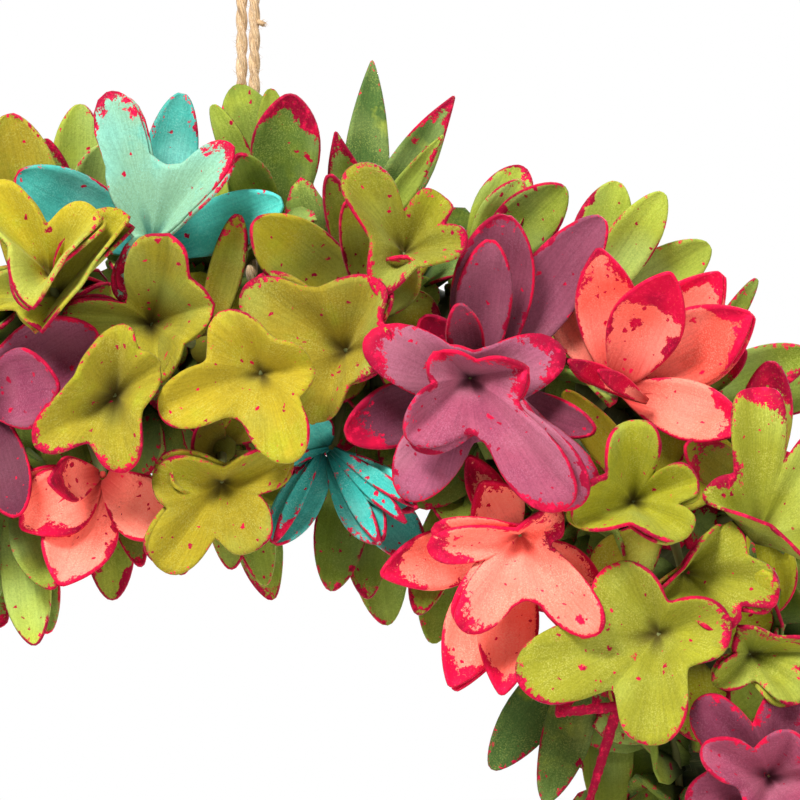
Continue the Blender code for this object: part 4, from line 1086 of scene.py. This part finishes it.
def dyedHuskGroup():
    # Suede-like dyed husk: mottled dye, fine pale fibres, veins along the grain, and a throat darkened by
    # painted shade and by the husk's own dark eye
    dyes = dict.fromkeys(("Dye", "Deep Dye", "Other Dye", "Pale Dye", "Fibre", "Throat"), "Color")
    sockets = {**sheetSockets, **dyes, "Throat Reach": "Float"}
    nodes, given, result = newGroup("dyedHusk", sockets, {"Color": "Color", "Height": "Float"})
    place = given["Place"]
    fromFoot = nodes.parts(given["Rim And Tip"])[2]
    brush, tone, dye = nodes.parts(given["Sheet"])
    cloud = nodes.noise(place, 62, 4.0, 0.6)
    fibre = nodes.noise(place, 2300, 2.0, 0.6)
    vein = nodes.drawnOut(given["Grain"], (1.3, 1, 0.7), 3.0, 0.6)
    # The dye is uneven over a sheet, and from sheet to sheet, and it has faded in broad soft patches
    deep = nodes.step(nodes.plus(cloud, nodes.timesPlus(brush, 0.5, -0.25)), 0.34, 0.74)
    colour = nodes.mix(deep, given["Dye"], given["Deep Dye"])
    colour = nodes.mix(nodes.times(dye, nodes.step(cloud, 0.25, 0.5)), colour, given["Other Dye"])
    faded = nodes.step(nodes.noise(place, 34), 0.46, 0.72, to=(0, 0.75))
    colour = nodes.mix(faded, colour, given["Pale Dye"])
    colour = nodes.mix(1.0, colour, nodes.step(vein, 0.35, 0.7, to=(1.05, 0.88)), "MULTIPLY")
    # Pale fibres stand out of the nap, thickest where the surface is rubbed, between darker pits
    rubbed = nodes.step(nodes.noise(place, 130, 3.0), 0.38, 0.66, to=(0.25, 1.0))
    nap = nodes.times(nodes.step(fibre, 0.44, 0.74, to=(0, 0.38)), rubbed)
    colour = nodes.mix(nap, colour, given["Fibre"])
    pits = nodes.step(nodes.noise(place, 1150, 2.0, 0.7), 0.32, 0.6, to=(0.90, 1.03))
    colour = nodes.mix(1.0, colour, pits, "MULTIPLY")
    # The sheet's tone darkens or lightens it: its dye's own tone, with painted light and shade on sheets that
    # stand lit, at the back or behind another skin
    colour = nodes.mix(1.0, colour, nodes.step(tone, -1, 1, to=(0.36, 1.12)), "MULTIPLY")
    # The throat is painted dark: painted shade deep in the funnel and at a petal's foot, with the husk's own
    # dark eye there. Its edge is drawn out along the grain
    throat = nodes.step(nodes.swayed(vein, 0.25, fromFoot), 0.02, given["Throat Reach"], to=(0.92, 0))
    nodes.put(nodes.mix(throat, colour, given["Throat"]), result["Color"])
    nodes.put(nodes.timesPlus(vein, 0.8, fibre), result["Height"])
    return nodes.tree


# Each colour's throat colour is painted shade deep in its cups and at its petals' feet, together with the
# husk's own dark eye
husks = {
    "coral": {
        "Dye": (1.0, 0.175, 0.120), "Deep Dye": (0.96, 0.11, 0.072), "Other Dye": (1.0, 0.34, 0.23),
        "Pale Dye": (1.0, 0.25, 0.19), "Fibre": (1.0, 0.48, 0.35), "Throat": (0.40, 0.02, 0.02),
        "Throat Reach": 0.42, "Rim Width": 1.2, "Rim Cover": 0.58, "Darkening": -0.1, "Tip Reach": 7.5,
        "Spatter": 0.75, "sheen": 0.03,
    },
    "mauve": {
        "Dye": (0.31, 0.06, 0.105), "Deep Dye": (0.21, 0.026, 0.066), "Other Dye": (0.35, 0.095, 0.16),
        "Pale Dye": (0.38, 0.125, 0.175), "Fibre": (0.45, 0.17, 0.25), "Throat": (0.05, 0.008, 0.016),
        "Throat Reach": 0.42, "Rim Width": 0.9, "Rim Cover": 0.56, "Darkening": 0.04, "Tip Reach": 6.5,
        "Spatter": 0.30, "sheen": 0.04,
    },
    "teal": {
        "Dye": (0.095, 0.65, 0.55), "Deep Dye": (0.035, 0.38, 0.33), "Other Dye": (0.27, 0.50, 0.32),
        "Pale Dye": (0.24, 0.68, 0.58), "Fibre": (0.34, 0.74, 0.62), "Throat": (0.006, 0.10, 0.09),
        "Throat Reach": 0.38, "Rim Width": 0.5, "Rim Cover": 0.44, "Darkening": 0.08, "Tip Reach": 3.0,
        "Spatter": 0.20, "sheen": 0.03,
    },
    "lime": {
        "Dye": (0.37, 0.350, 0.016), "Deep Dye": (0.22, 0.24, 0.018), "Other Dye": (0.50, 0.25, 0.016),
        "Pale Dye": (0.34, 0.39, 0.07), "Fibre": (0.55, 0.54, 0.15), "Throat": (0.055, 0.036, 0.008),
        "Throat Reach": 0.40, "Rim Width": 0.7, "Rim Cover": 0.46, "Darkening": 0.12, "Tip Reach": 2.2,
        "Spatter": 0.45, "sheen": 0.03,
    },
    # The leaf's dark other dye is also painted shade on the ring's small leaves in the gaps between the
    # blooms
    "leaf": {
        "Dye": (0.32, 0.375, 0.042), "Deep Dye": (0.19, 0.25, 0.022), "Other Dye": (0.065, 0.13, 0.030),
        "Pale Dye": (0.28, 0.38, 0.11), "Fibre": (0.47, 0.52, 0.12), "Throat": (0.02, 0.034, 0.006),
        "Throat Reach": 0.45, "Rim Width": 0.55, "Rim Cover": 0.44, "Darkening": 0.16, "Tip Reach": 3.2,
        "Spatter": 0.35, "sheen": 0.03,
    },
}


def newMaterial(name):
    material = bpy.data.materials.new(name)
    material.use_nodes = True
    return material, Nodes(material.node_tree), material.node_tree.nodes["Principled BSDF"]


def huskMaterial(name, look, trees):
    material, nodes, shader = newMaterial(name + "Husk")
    layers = {"Grain": "grain", "Rim And Tip": "paint", "Sheet": "tint"}
    given = {label: nodes.attribute(layer) for label, layer in layers.items()}
    given["Place"] = nodes.made("TexCoord", {}, "Object")
    husk, brush = (nodes.add("Group", node_tree=tree) for tree in trees)
    for group in (husk, brush):
        for label, source in {**given, **look}.items():
            if label in group.inputs:
                nodes.put(source, group.inputs[label])
    mask = brush.outputs["Mask"]
    colour = nodes.mix(mask, husk.outputs["Color"], brush.outputs["Color"])
    rough = nodes.step(mask, 0, 1, to=(0.88, 0.62))
    nodes.surface(shader, colour, rough, husk.outputs["Height"], (0.45, 0.25 * mm))
    shader.inputs["Sheen Weight"].default_value = look["sheen"]
    shader.inputs["Sheen Roughness"].default_value = 0.5
    shader.inputs["Specular IOR Level"].default_value = 0.08
    return material


def plainMaterial(name, colour):
    material, nodes, shader = newMaterial(name)
    shader.inputs["Base Color"].default_value = (*colour, 1)
    shader.inputs["Roughness"].default_value = 0.85
    return material


def juteMaterial():
    # Fibres run along each ply, pale on its crown and brown in its grooves
    material, nodes, shader = newMaterial("twistedJute")
    grain = nodes.attribute("grain")
    strand = nodes.drawnOut(grain, (5.5, 5.5, 0.35), 3.0, 0.6)
    hairs = nodes.drawnOut(grain, (16, 16, 1.1), 2.0, 0.6)
    patchy = nodes.drawnOut(grain, (0.4, 0.4, 0.12))
    colour = nodes.mix(nodes.step(strand, 0.36, 0.66), (0.27, 0.15, 0.065), (0.70, 0.45, 0.22))
    pale = nodes.times(nodes.step(hairs, 0.45, 0.7), nodes.step(patchy, 0.3, 0.6))
    colour = nodes.mix(pale, colour, (0.88, 0.68, 0.46))
    rough = nodes.step(strand, 0.3, 0.7, to=(0.95, 0.78))
    nodes.surface(shader, colour, rough, nodes.timesPlus(hairs, 0.6, strand), (0.8, 0.3 * mm))
    shader.inputs["Sheen Weight"].default_value = 0.2
    return material


def paperMaterial():
    # Dull olive floral paper, creased along its winding
    material, nodes, shader = newMaterial("floralPaper")
    grain = nodes.attribute("grain")
    crease = nodes.drawnOut(grain, (1.6, 0.22, 0.3), 4.0, 0.65)
    cloud = nodes.noise(nodes.made("TexCoord", {}, "Object"), 45, 3.0)
    colour = nodes.mix(nodes.step(cloud, 0.35, 0.65), (0.045, 0.06, 0.02), (0.105, 0.115, 0.04))
    colour = nodes.mix(nodes.step(crease, 0.5, 0.75), colour, (0.17, 0.17, 0.07))
    # Each turn of the paper tape has a shaded edge
    edge = nodes.step(nodes.parts(grain)[0], 0.2, 3.2, to=(0.5, 1.15))
    colour = nodes.mix(1.0, colour, edge, "MULTIPLY")
    rough = nodes.step(crease, 0.3, 0.7, to=(0.95, 0.8))
    nodes.surface(shader, colour, rough, crease, (0.6, 0.4 * mm))
    return material


huskTrees = (dyedHuskGroup(), crimsonPaintGroup())
paints = {name: huskMaterial(name, look, huskTrees) for name, look in husks.items()}
paints["stem"] = plainMaterial("stemSkin", (0.16, 0.17, 0.05))
paints["jute"] = juteMaterial()
paints["core"] = paperMaterial()




# Cord: two-ply jute that rises in two legs from the turn round the ring to the eye it hangs by

cordMake = {
    "strand": 3.5 * mm, "legOffset": 1.9 * mm, "eye": 8 * mm, "seizingTop": -27 * mm,
    "seizingHeight": 8 * mm, "pointStep": 9 * mm, "slingPoints": 22, "slingLift": 0.9 * mm, "gap": 0.3 * mm,
    "ply": 1.27 * mm, "plyAt": 0.53 * mm, "pitch": 14 * mm, "step": 0.8 * mm, "twine": 0.72 * mm,
    "twineTurns": 5, "hairs": 420, "frayAt": centre.z + 237.2 * mm,
}


def slingPoints():
    # The same route as the source's turn of cord round the ring
    reach = cordMake["strand"] / 2 + cordMake["slingLift"]
    half = ring["tube"] + reach
    count = cordMake["slingPoints"]
    points = []
    for step in range(-1, count + 2):
        share = min(1, max(0, step / count))
        angle = math.tau * step / count * 0.96
        depth = min(math.sin(angle) * half, ring["backFlat"] + reach)
        across = -cordMake["legOffset"] * math.cos(math.pi * share)
        points.append(centre + Vector((across, depth, ring["radius"] + math.cos(angle) * half)))
    return points


def cordPoints():
    # The same route as the source's cord: up one leg, round the eye and down the other
    eye = Vector((0, 0, cordMake["strand"] / 2 - cordMake["eye"]))
    low = centre.z + ring["radius"] + ring["tube"]
    low = low + cordMake["slingLift"] + cordMake["strand"] + cordMake["gap"]
    meet = cordMake["seizingTop"] + 2 * mm
    steps = round((meet - low) / cordMake["pointStep"])
    rises = [low + (meet - low) * step / steps for step in range(steps + 1)]
    half = [Vector((cordMake["legOffset"], 0, rise)) for rise in rises]
    half.append(Vector((2.9 * mm, 0, meet + 5 * mm)))
    for step in range(9):
        angle = math.radians(-48 + 138 * step / 8)
        half.append(eye + Vector((math.cos(angle), 0, math.sin(angle))) * cordMake["eye"])
    return half + [Vector((-point.x, point.y, point.z)) for point in reversed(half[:-1])]


def fineLine(points, step):
    # Points at an even step along a smooth curve through the route's points
    whole = [points[0] * 2 - points[1]] + points + [points[-1] * 2 - points[-2]]
    dense = []
    for a, b, c, d in zip(whole, whole[1:], whole[2:], whole[3:]):
        for part in range(16):
            t = part / 16
            square, cube = 2 * a - 5 * b + 4 * c - d, 3 * b - a - 3 * c + d
            dense.append(0.5 * (2 * b + (c - a) * t + square * t**2 + cube * t**3))
    dense.append(points[-1])
    line = [dense[0]]
    left = step
    for start, end in zip(dense, dense[1:]):
        while (end - start).length >= left:
            start = start + (end - start).normalized() * left
            line.append(start)
            left = step
        left -= (end - start).length
    return line


def aheadAt(line, index):
    return (line[min(index + 1, len(line) - 1)] - line[max(index - 1, 0)]).normalized()


def plyLine(line, across, phase, reach, pitch):
    # One ply winds round the cord's own line
    turned = []
    for index, point in enumerate(line):
        ahead = aheadAt(line, index)
        first = squared(across, ahead)
        angle = phase - math.tau * index * cordMake["step"] / pitch
        turned.append(point + (first * math.cos(angle) + ahead.cross(first) * math.sin(angle)) * reach)
    return turned


def addPly(piece, line, radius, sides, shift):
    # A tube of rings bridged one to the next, with the angle round it and the way along it as its grain
    grain = layersOf(piece, "grain")[0]
    across = Vector((0.31, 0.17, 0.93))
    before = None
    ends = []
    for index, point in enumerate(line):
        ahead = aheadAt(line, index)
        across = squared(across, ahead)
        turn = Matrix((across, ahead.cross(across), ahead)).transposed().to_4x4()
        swell = 1 + 0.10 * noise.noise(Vector((index * 0.13, shift, 0)))
        made = bmesh.ops.create_circle(
            piece, segments=sides, radius=radius * swell, matrix=Matrix.Translation(point) @ turn
        )["verts"]
        for order, vert in enumerate(made):
            angle = math.tau * order / sides
            vert[grain] = (math.cos(angle), math.sin(angle), index * cordMake["step"] / mm + shift * 50)
        edges = list({edge for vert in made for edge in vert.link_edges})
        if before:
            bmesh.ops.bridge_loops(piece, edges=before + edges)
        if index in (0, len(line) - 1):
            ends.append(edges)
        before = edges
    for edges in ends:
        bmesh.ops.holes_fill(piece, edges=edges)


def jutePiece(name, node, points, across, shift):
    piece = newMesh()
    line = fineLine(points, cordMake["step"])
    for order in range(2):
        phase = math.pi * order
        wound = plyLine(line, across, phase, cordMake["plyAt"], cordMake["pitch"])
        addPly(piece, wound, cordMake["ply"], 10, shift + order)
    bmesh.ops.recalc_face_normals(piece, faces=piece.faces)
    return finished(name, piece, node, "jute", paints["jute"]), line


def seizingLine():
    # Turns of thin twine round both legs
    reach = cordMake["strand"] / 2 + cordMake["gap"] + cordMake["twine"]
    line = []
    count = cordMake["twineTurns"] * 40
    for index in range(count + 1):
        angle = math.tau * index / 40
        spot = Vector((math.cos(angle), math.sin(angle), 0)) * reach
        spot.x += math.copysign(cordMake["legOffset"], spot.x) * min(1, abs(math.cos(angle)) * 4)
        rise = (cordMake["seizingHeight"] - 2 * cordMake["twine"]) * (index / count - 0.5)
        spot.z = cordMake["seizingTop"] - cordMake["seizingHeight"] / 2 + rise
        line.append(spot)
    return line


def addHair(piece, start, direction, length, radius, draw):
    # A fibre that stands off the cord and droops a little
    bend = jitter(draw, 1) * 0.35
    spot = start
    for part in range(2):
        end = spot + (direction + bend * part).normalized() * length / 2
        addRod(piece, spot, end, radius * (1 - 0.4 * part), radius * (0.6 - 0.4 * part), 3, 0)
        spot = end - (end - spot) * 0.04


def addHairs(piece, line, count, draw):
    for hair in range(count):
        index = draw.randrange(2, len(line) - 2)
        ahead = aheadAt(line, index)
        out = turned(ahead.orthogonal().normalized(), draw.uniform(0, math.tau), ahead)
        direction = out + ahead * draw.uniform(-1.2, 1.2)
        start = line[index] + out * cordMake["strand"] * 0.42
        length, radius = draw.uniform(0.8, 2.2) * mm, draw.uniform(0.035, 0.06) * mm
        addHair(piece, start, direction.normalized(), length, radius, draw)


def makeCords():
    cordPath = cordPoints()
    cord, line = jutePiece("jute_cord", "hanging_cord", cordPath, Vector((0, 1, 0)), 0)
    sling, slingLine = jutePiece("jute_turn", "cord_sling", slingPoints(), Vector((1, 0, 0)), 4)
    piece = newMesh()
    addPly(piece, seizingLine(), cordMake["twine"], 8, 9)
    bmesh.ops.recalc_face_normals(piece, faces=piece.faces)
    seizing = finished("jute_seizing", piece, "cord_seizing", "jute", paints["jute"])
    draw = random.Random(seed + 900)
    piece = newMesh()
    addHairs(piece, line, cordMake["hairs"], draw)
    addHairs(piece, slingLine, cordMake["hairs"] // 4, draw)
    # The frayed end of a strand beside one leg
    fray = Vector((cordMake["legOffset"] + 0.9 * mm, -0.5 * mm, cordMake["frayAt"]))
    stub = fray + Vector((2.0, -0.2, -1.0)) * mm
    addRod(piece, fray, stub, 0.75 * mm, 0.85 * mm, 10, 0)
    for fibre in range(60):
        direction = Vector((draw.uniform(0.5, 1.1), draw.uniform(-0.5, 0.5), draw.uniform(-0.75, 0.3)))
        direction.normalize()
        start = fray.lerp(stub, draw.uniform(0.2, 1)) + jitter(draw, 0.6) * mm
        addHair(piece, start, direction, draw.uniform(0.8, 1.7) * mm, 0.10 * mm, draw)
    fibres = finished("jute_fibres", piece, "hanging_cord", "jute", paints["jute"])


# Core ring: straw bound with floral paper, and small leaves that lie over its front and sides

ringMake = {
    "sides": 28, "steps": 360, "tapes": 52, "inset": 0.4 * mm, "tapeRidge": 0.55 * mm, "backLimit": 14 * mm,
    "leaves": 520, "leafLength": (15, 24), "leafWidth": (8, 12), "lift": (4.0, 8.5), "largerWidth": (11, 15),
}


# Leaves that stand up under the blooms, between them and the ring, and then leaves that lie flat out of both
# edges and close the view between the blooms
largerLeaves = (
    {"count": 200, "side": (25, 70), "length": (17, 28), "sway": 7, "spread": (0.55, 1.0), "stands": True},
    {"count": 260, "side": (52, 92), "length": (24, 31), "sway": 5, "spread": (0.92, 1.08), "stands": False},
)


def makeRing():
    piece = newMesh()
    lying = Matrix.Rotation(math.radians(90), 4, "Y")
    radius = ring["tube"] - ringMake["inset"]
    made = bmesh.ops.create_circle(piece, segments=ringMake["sides"], radius=radius, matrix=lying)["verts"]
    for vert in made:
        vert.co.y = min(vert.co.y, ring["backFlat"] - 0.2 * mm)
    bmesh.ops.translate(piece, verts=made, vec=(0, 0, ring["radius"]))
    bmesh.ops.spin(
        piece, geom=piece.verts[:] + piece.edges[:], cent=(0, 0, 0), axis=(0, 1, 0), angle=math.tau,
        steps=ringMake["steps"], use_merge=True,
    )
    bmesh.ops.recalc_face_normals(piece, faces=piece.faces)
    grain = layersOf(piece, "grain")[0]
    for vert in piece.verts:
        clock = math.atan2(vert.co.x, vert.co.z)
        out = Vector((math.sin(clock), 0, math.cos(clock)))
        fromTube = vert.co - out * ring["radius"]
        side = math.atan2(fromTube.dot(out), -fromTube.y)
        tape = (clock / math.tau * ringMake["tapes"] + side / math.tau) % 1
        vert[grain] = (tape * 8, side * 6, clock * 40)
        ridge = (1 - tape) ** 2 * ringMake["tapeRidge"] + noise.noise(vert.co * 90) * 0.3 * mm
        if fromTube.y < ring["backFlat"] - 0.5 * mm:
            vert.co += fromTube.normalized() * (ridge - ringMake["inset"])
    bmesh.ops.translate(piece, verts=piece.verts, vec=centre)
    finished("bound_ring", piece, "core_ring", "core", paints["core"])


def addRingLeaf(piece, base, tip, facing, width, draw):
    # One small leaf with its foot in the bound ring, left out where it would stand behind the ring's back
    plan = {"kind": "scale", "cut": "petal", "root": base, "tip": tip, "facing": facing}
    plan.update(width=width * mm, bow=-0.10, cup=0.12, keel=0.15)
    # These leaves take much of the leaf's dark other dye: painted shade in the deep gaps between the blooms,
    # with the dark leaves that fill them
    tint = (draw.random(), draw.random(), draw.uniform(0.2, 1))
    if max(base.y, tip.y) < ringMake["backLimit"]:
        addSheet(piece, plan, tint)


def makeRingLeaves():
    draw = random.Random(seed + 700)
    piece = newMesh()
    foot = ring["tube"] - 1.2 * mm
    count = ringMake["leaves"]
    for leaf in range(count):
        clock = 360 * (leaf + draw.uniform(-0.5, 0.5)) / count
        side = draw.uniform(-112, 112)
        length = draw.uniform(*ringMake["leafLength"])
        spread = math.degrees(length * mm / ring["tube"]) * 0.62 * draw.choice((-1, 1, 1 if side > 0 else -1))
        lift = ring["tube"] + draw.uniform(*ringMake["lift"]) * mm
        base = tubePoint(clock, side, foot)
        tip = tubePoint(clock + draw.uniform(-4, 4), side + spread, lift)
        facing = (base - tubePoint(clock, side, 0)).normalized()
        addRingLeaf(piece, base, tip, facing, draw.uniform(*ringMake["leafWidth"]), draw)
    for row in largerLeaves:
        for leaf in range(row["count"]):
            clock = 360 * (leaf + draw.uniform(-0.5, 0.5)) / row["count"]
            side = draw.choice((-1, 1)) * draw.uniform(*row["side"])
            lift = ring["tube"] + draw.uniform(*row["length"]) * mm
            tipClock = clock + draw.uniform(-row["sway"], row["sway"])
            tip = tubePoint(tipClock, side * draw.uniform(*row["spread"]), lift)
            facing = leaned(clock, side * 0.35)
            if row["stands"]:
                facing = outwardAt(clock) * math.copysign(1, side) + towardViewer * draw.uniform(0.2, 1.2)
                facing.normalize()
            width = draw.uniform(*ringMake["largerWidth"])
            addRingLeaf(piece, tubePoint(clock, side, foot), tip, facing, width, draw)
    finished("ring_leaves", piece, "core_ring", "leaf", paints["leaf"])




# How often a colour's sheets have a second skin behind them, and how much of its other dye they may take
doubledShare = {"coral": 0.8, "mauve": 0.8, "teal": 0.9, "lime": 0.5, "leaf": 0}
otherShare = {"coral": (0, 0.6), "mauve": (0, 0.7), "teal": (0, 0.2), "lime": (0, 0.45), "leaf": (0, 0.4)}


def dressAll():
    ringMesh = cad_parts["core_ring"].data
    ringTree = BVHTree.FromPolygons(
        [vert.co for vert in ringMesh.vertices], [tuple(part.vertices) for part in ringMesh.polygons]
    )
    for name, plant in seenPlants.items():
        colour = name.split("_")[0]
        dressPlant(name, colour, *seenPlans(plant, colour == "lime"), ringTree)
    print("blooms and lime cups dressed")
    for index in range(rule["count"]):
        colour, parts = sprayPlans(index)
        dressPlant(f"{colour}_spray_{index + 1}", colour, *parts, ringTree)
    for name, *tuft in seenTufts:
        dressPlant(name, "leaf", *tuftPlans(*tuft), ringTree)
    for row in leafyStems:
        for number in range(row["count"]):
            plans, twig = leafyStemPlans(row, number)
            dressPlant(f"leafy_stem_{row['edge']}_{number + 1}", "leaf", None, 0, [], plans, ringTree, twig)
    print("sprays and leaves dressed")


def setUpCamera():
    camera = bpy.data.objects.new("camera", bpy.data.cameras.new("camera"))
    bpy.context.scene.collection.objects.link(camera)
    across = (photo["middle"][0] - photo["ringAt"][0]) * photo["pixel"]
    upward = (photo["ringAt"][1] - photo["middle"][1]) * photo["pixel"]
    camera.location = centre + Vector((across, -photo["distance"], upward))
    camera.rotation_euler = (math.pi / 2, 0, 0)
    camera.data.sensor_width = photo["sensor"]
    camera.data.lens = photo["sensor"] * photo["distance"] / (photo["side"] * photo["pixel"])
    camera.data.clip_start = 0.05
    bpy.context.scene.camera = camera


lights = (
    {"name": "key", "at": (-1.5, -2.7, 2.9), "size": 1.3, "power": 315},
    {"name": "fill", "at": (2.4, -2.4, 0.1), "size": 2.0, "power": 42},
    {"name": "behind", "at": (1.2, 3.4, 1.4), "size": 2.4, "power": 190},
)
worldLight = 0.45
floorMake = {"height": -0.75, "radius": 1.6}


def setUpLight():
    world = bpy.data.worlds.new("paleStudio")
    world.use_nodes = True
    shown = world.node_tree.nodes["Background"]
    shown.inputs["Color"].default_value = (1, 1, 1, 1)
    # The backdrop is seen white, and lights the wreath more softly
    nodes = Nodes(world.node_tree)
    ray = nodes.made("LightPath", {}, "Is Camera Ray")
    nodes.put(nodes.step(ray, 0, 1, to=(worldLight, 1)), shown.inputs["Strength"])
    bpy.context.scene.world = world
    for one in lights:
        lamp = bpy.data.lights.new(one["name"], "AREA")
        lamp.energy = one["power"]
        lamp.size = one["size"]
        holder = bpy.data.objects.new(one["name"], lamp)
        holder.location = one["at"]
        holder.rotation_euler = (centre - Vector(one["at"])).to_track_quat("-Z", "Y").to_euler()
        bpy.context.scene.collection.objects.link(holder)
    bpy.context.scene.view_settings.view_transform = "Standard"


def layFloor():
    bm = bmesh.new()
    place = Matrix.Translation((0, 0, floorMake["height"]))
    bmesh.ops.create_circle(bm, segments=96, radius=floorMake["radius"], cap_ends=True, matrix=place)
    mesh = bpy.data.meshes.new("floor")
    bm.to_mesh(mesh)
    bm.free()
    mesh.materials.append(plainMaterial("paleFloor", (0.8, 0.8, 0.8)))
    floor = bpy.data.objects.new("floor", mesh)
    bpy.context.scene.collection.objects.link(floor)


setUpCamera()
setUpLight()
layFloor()
dressAll()
makeCords()
makeRing()
makeRingLeaves()
print("ring and its leaves made")
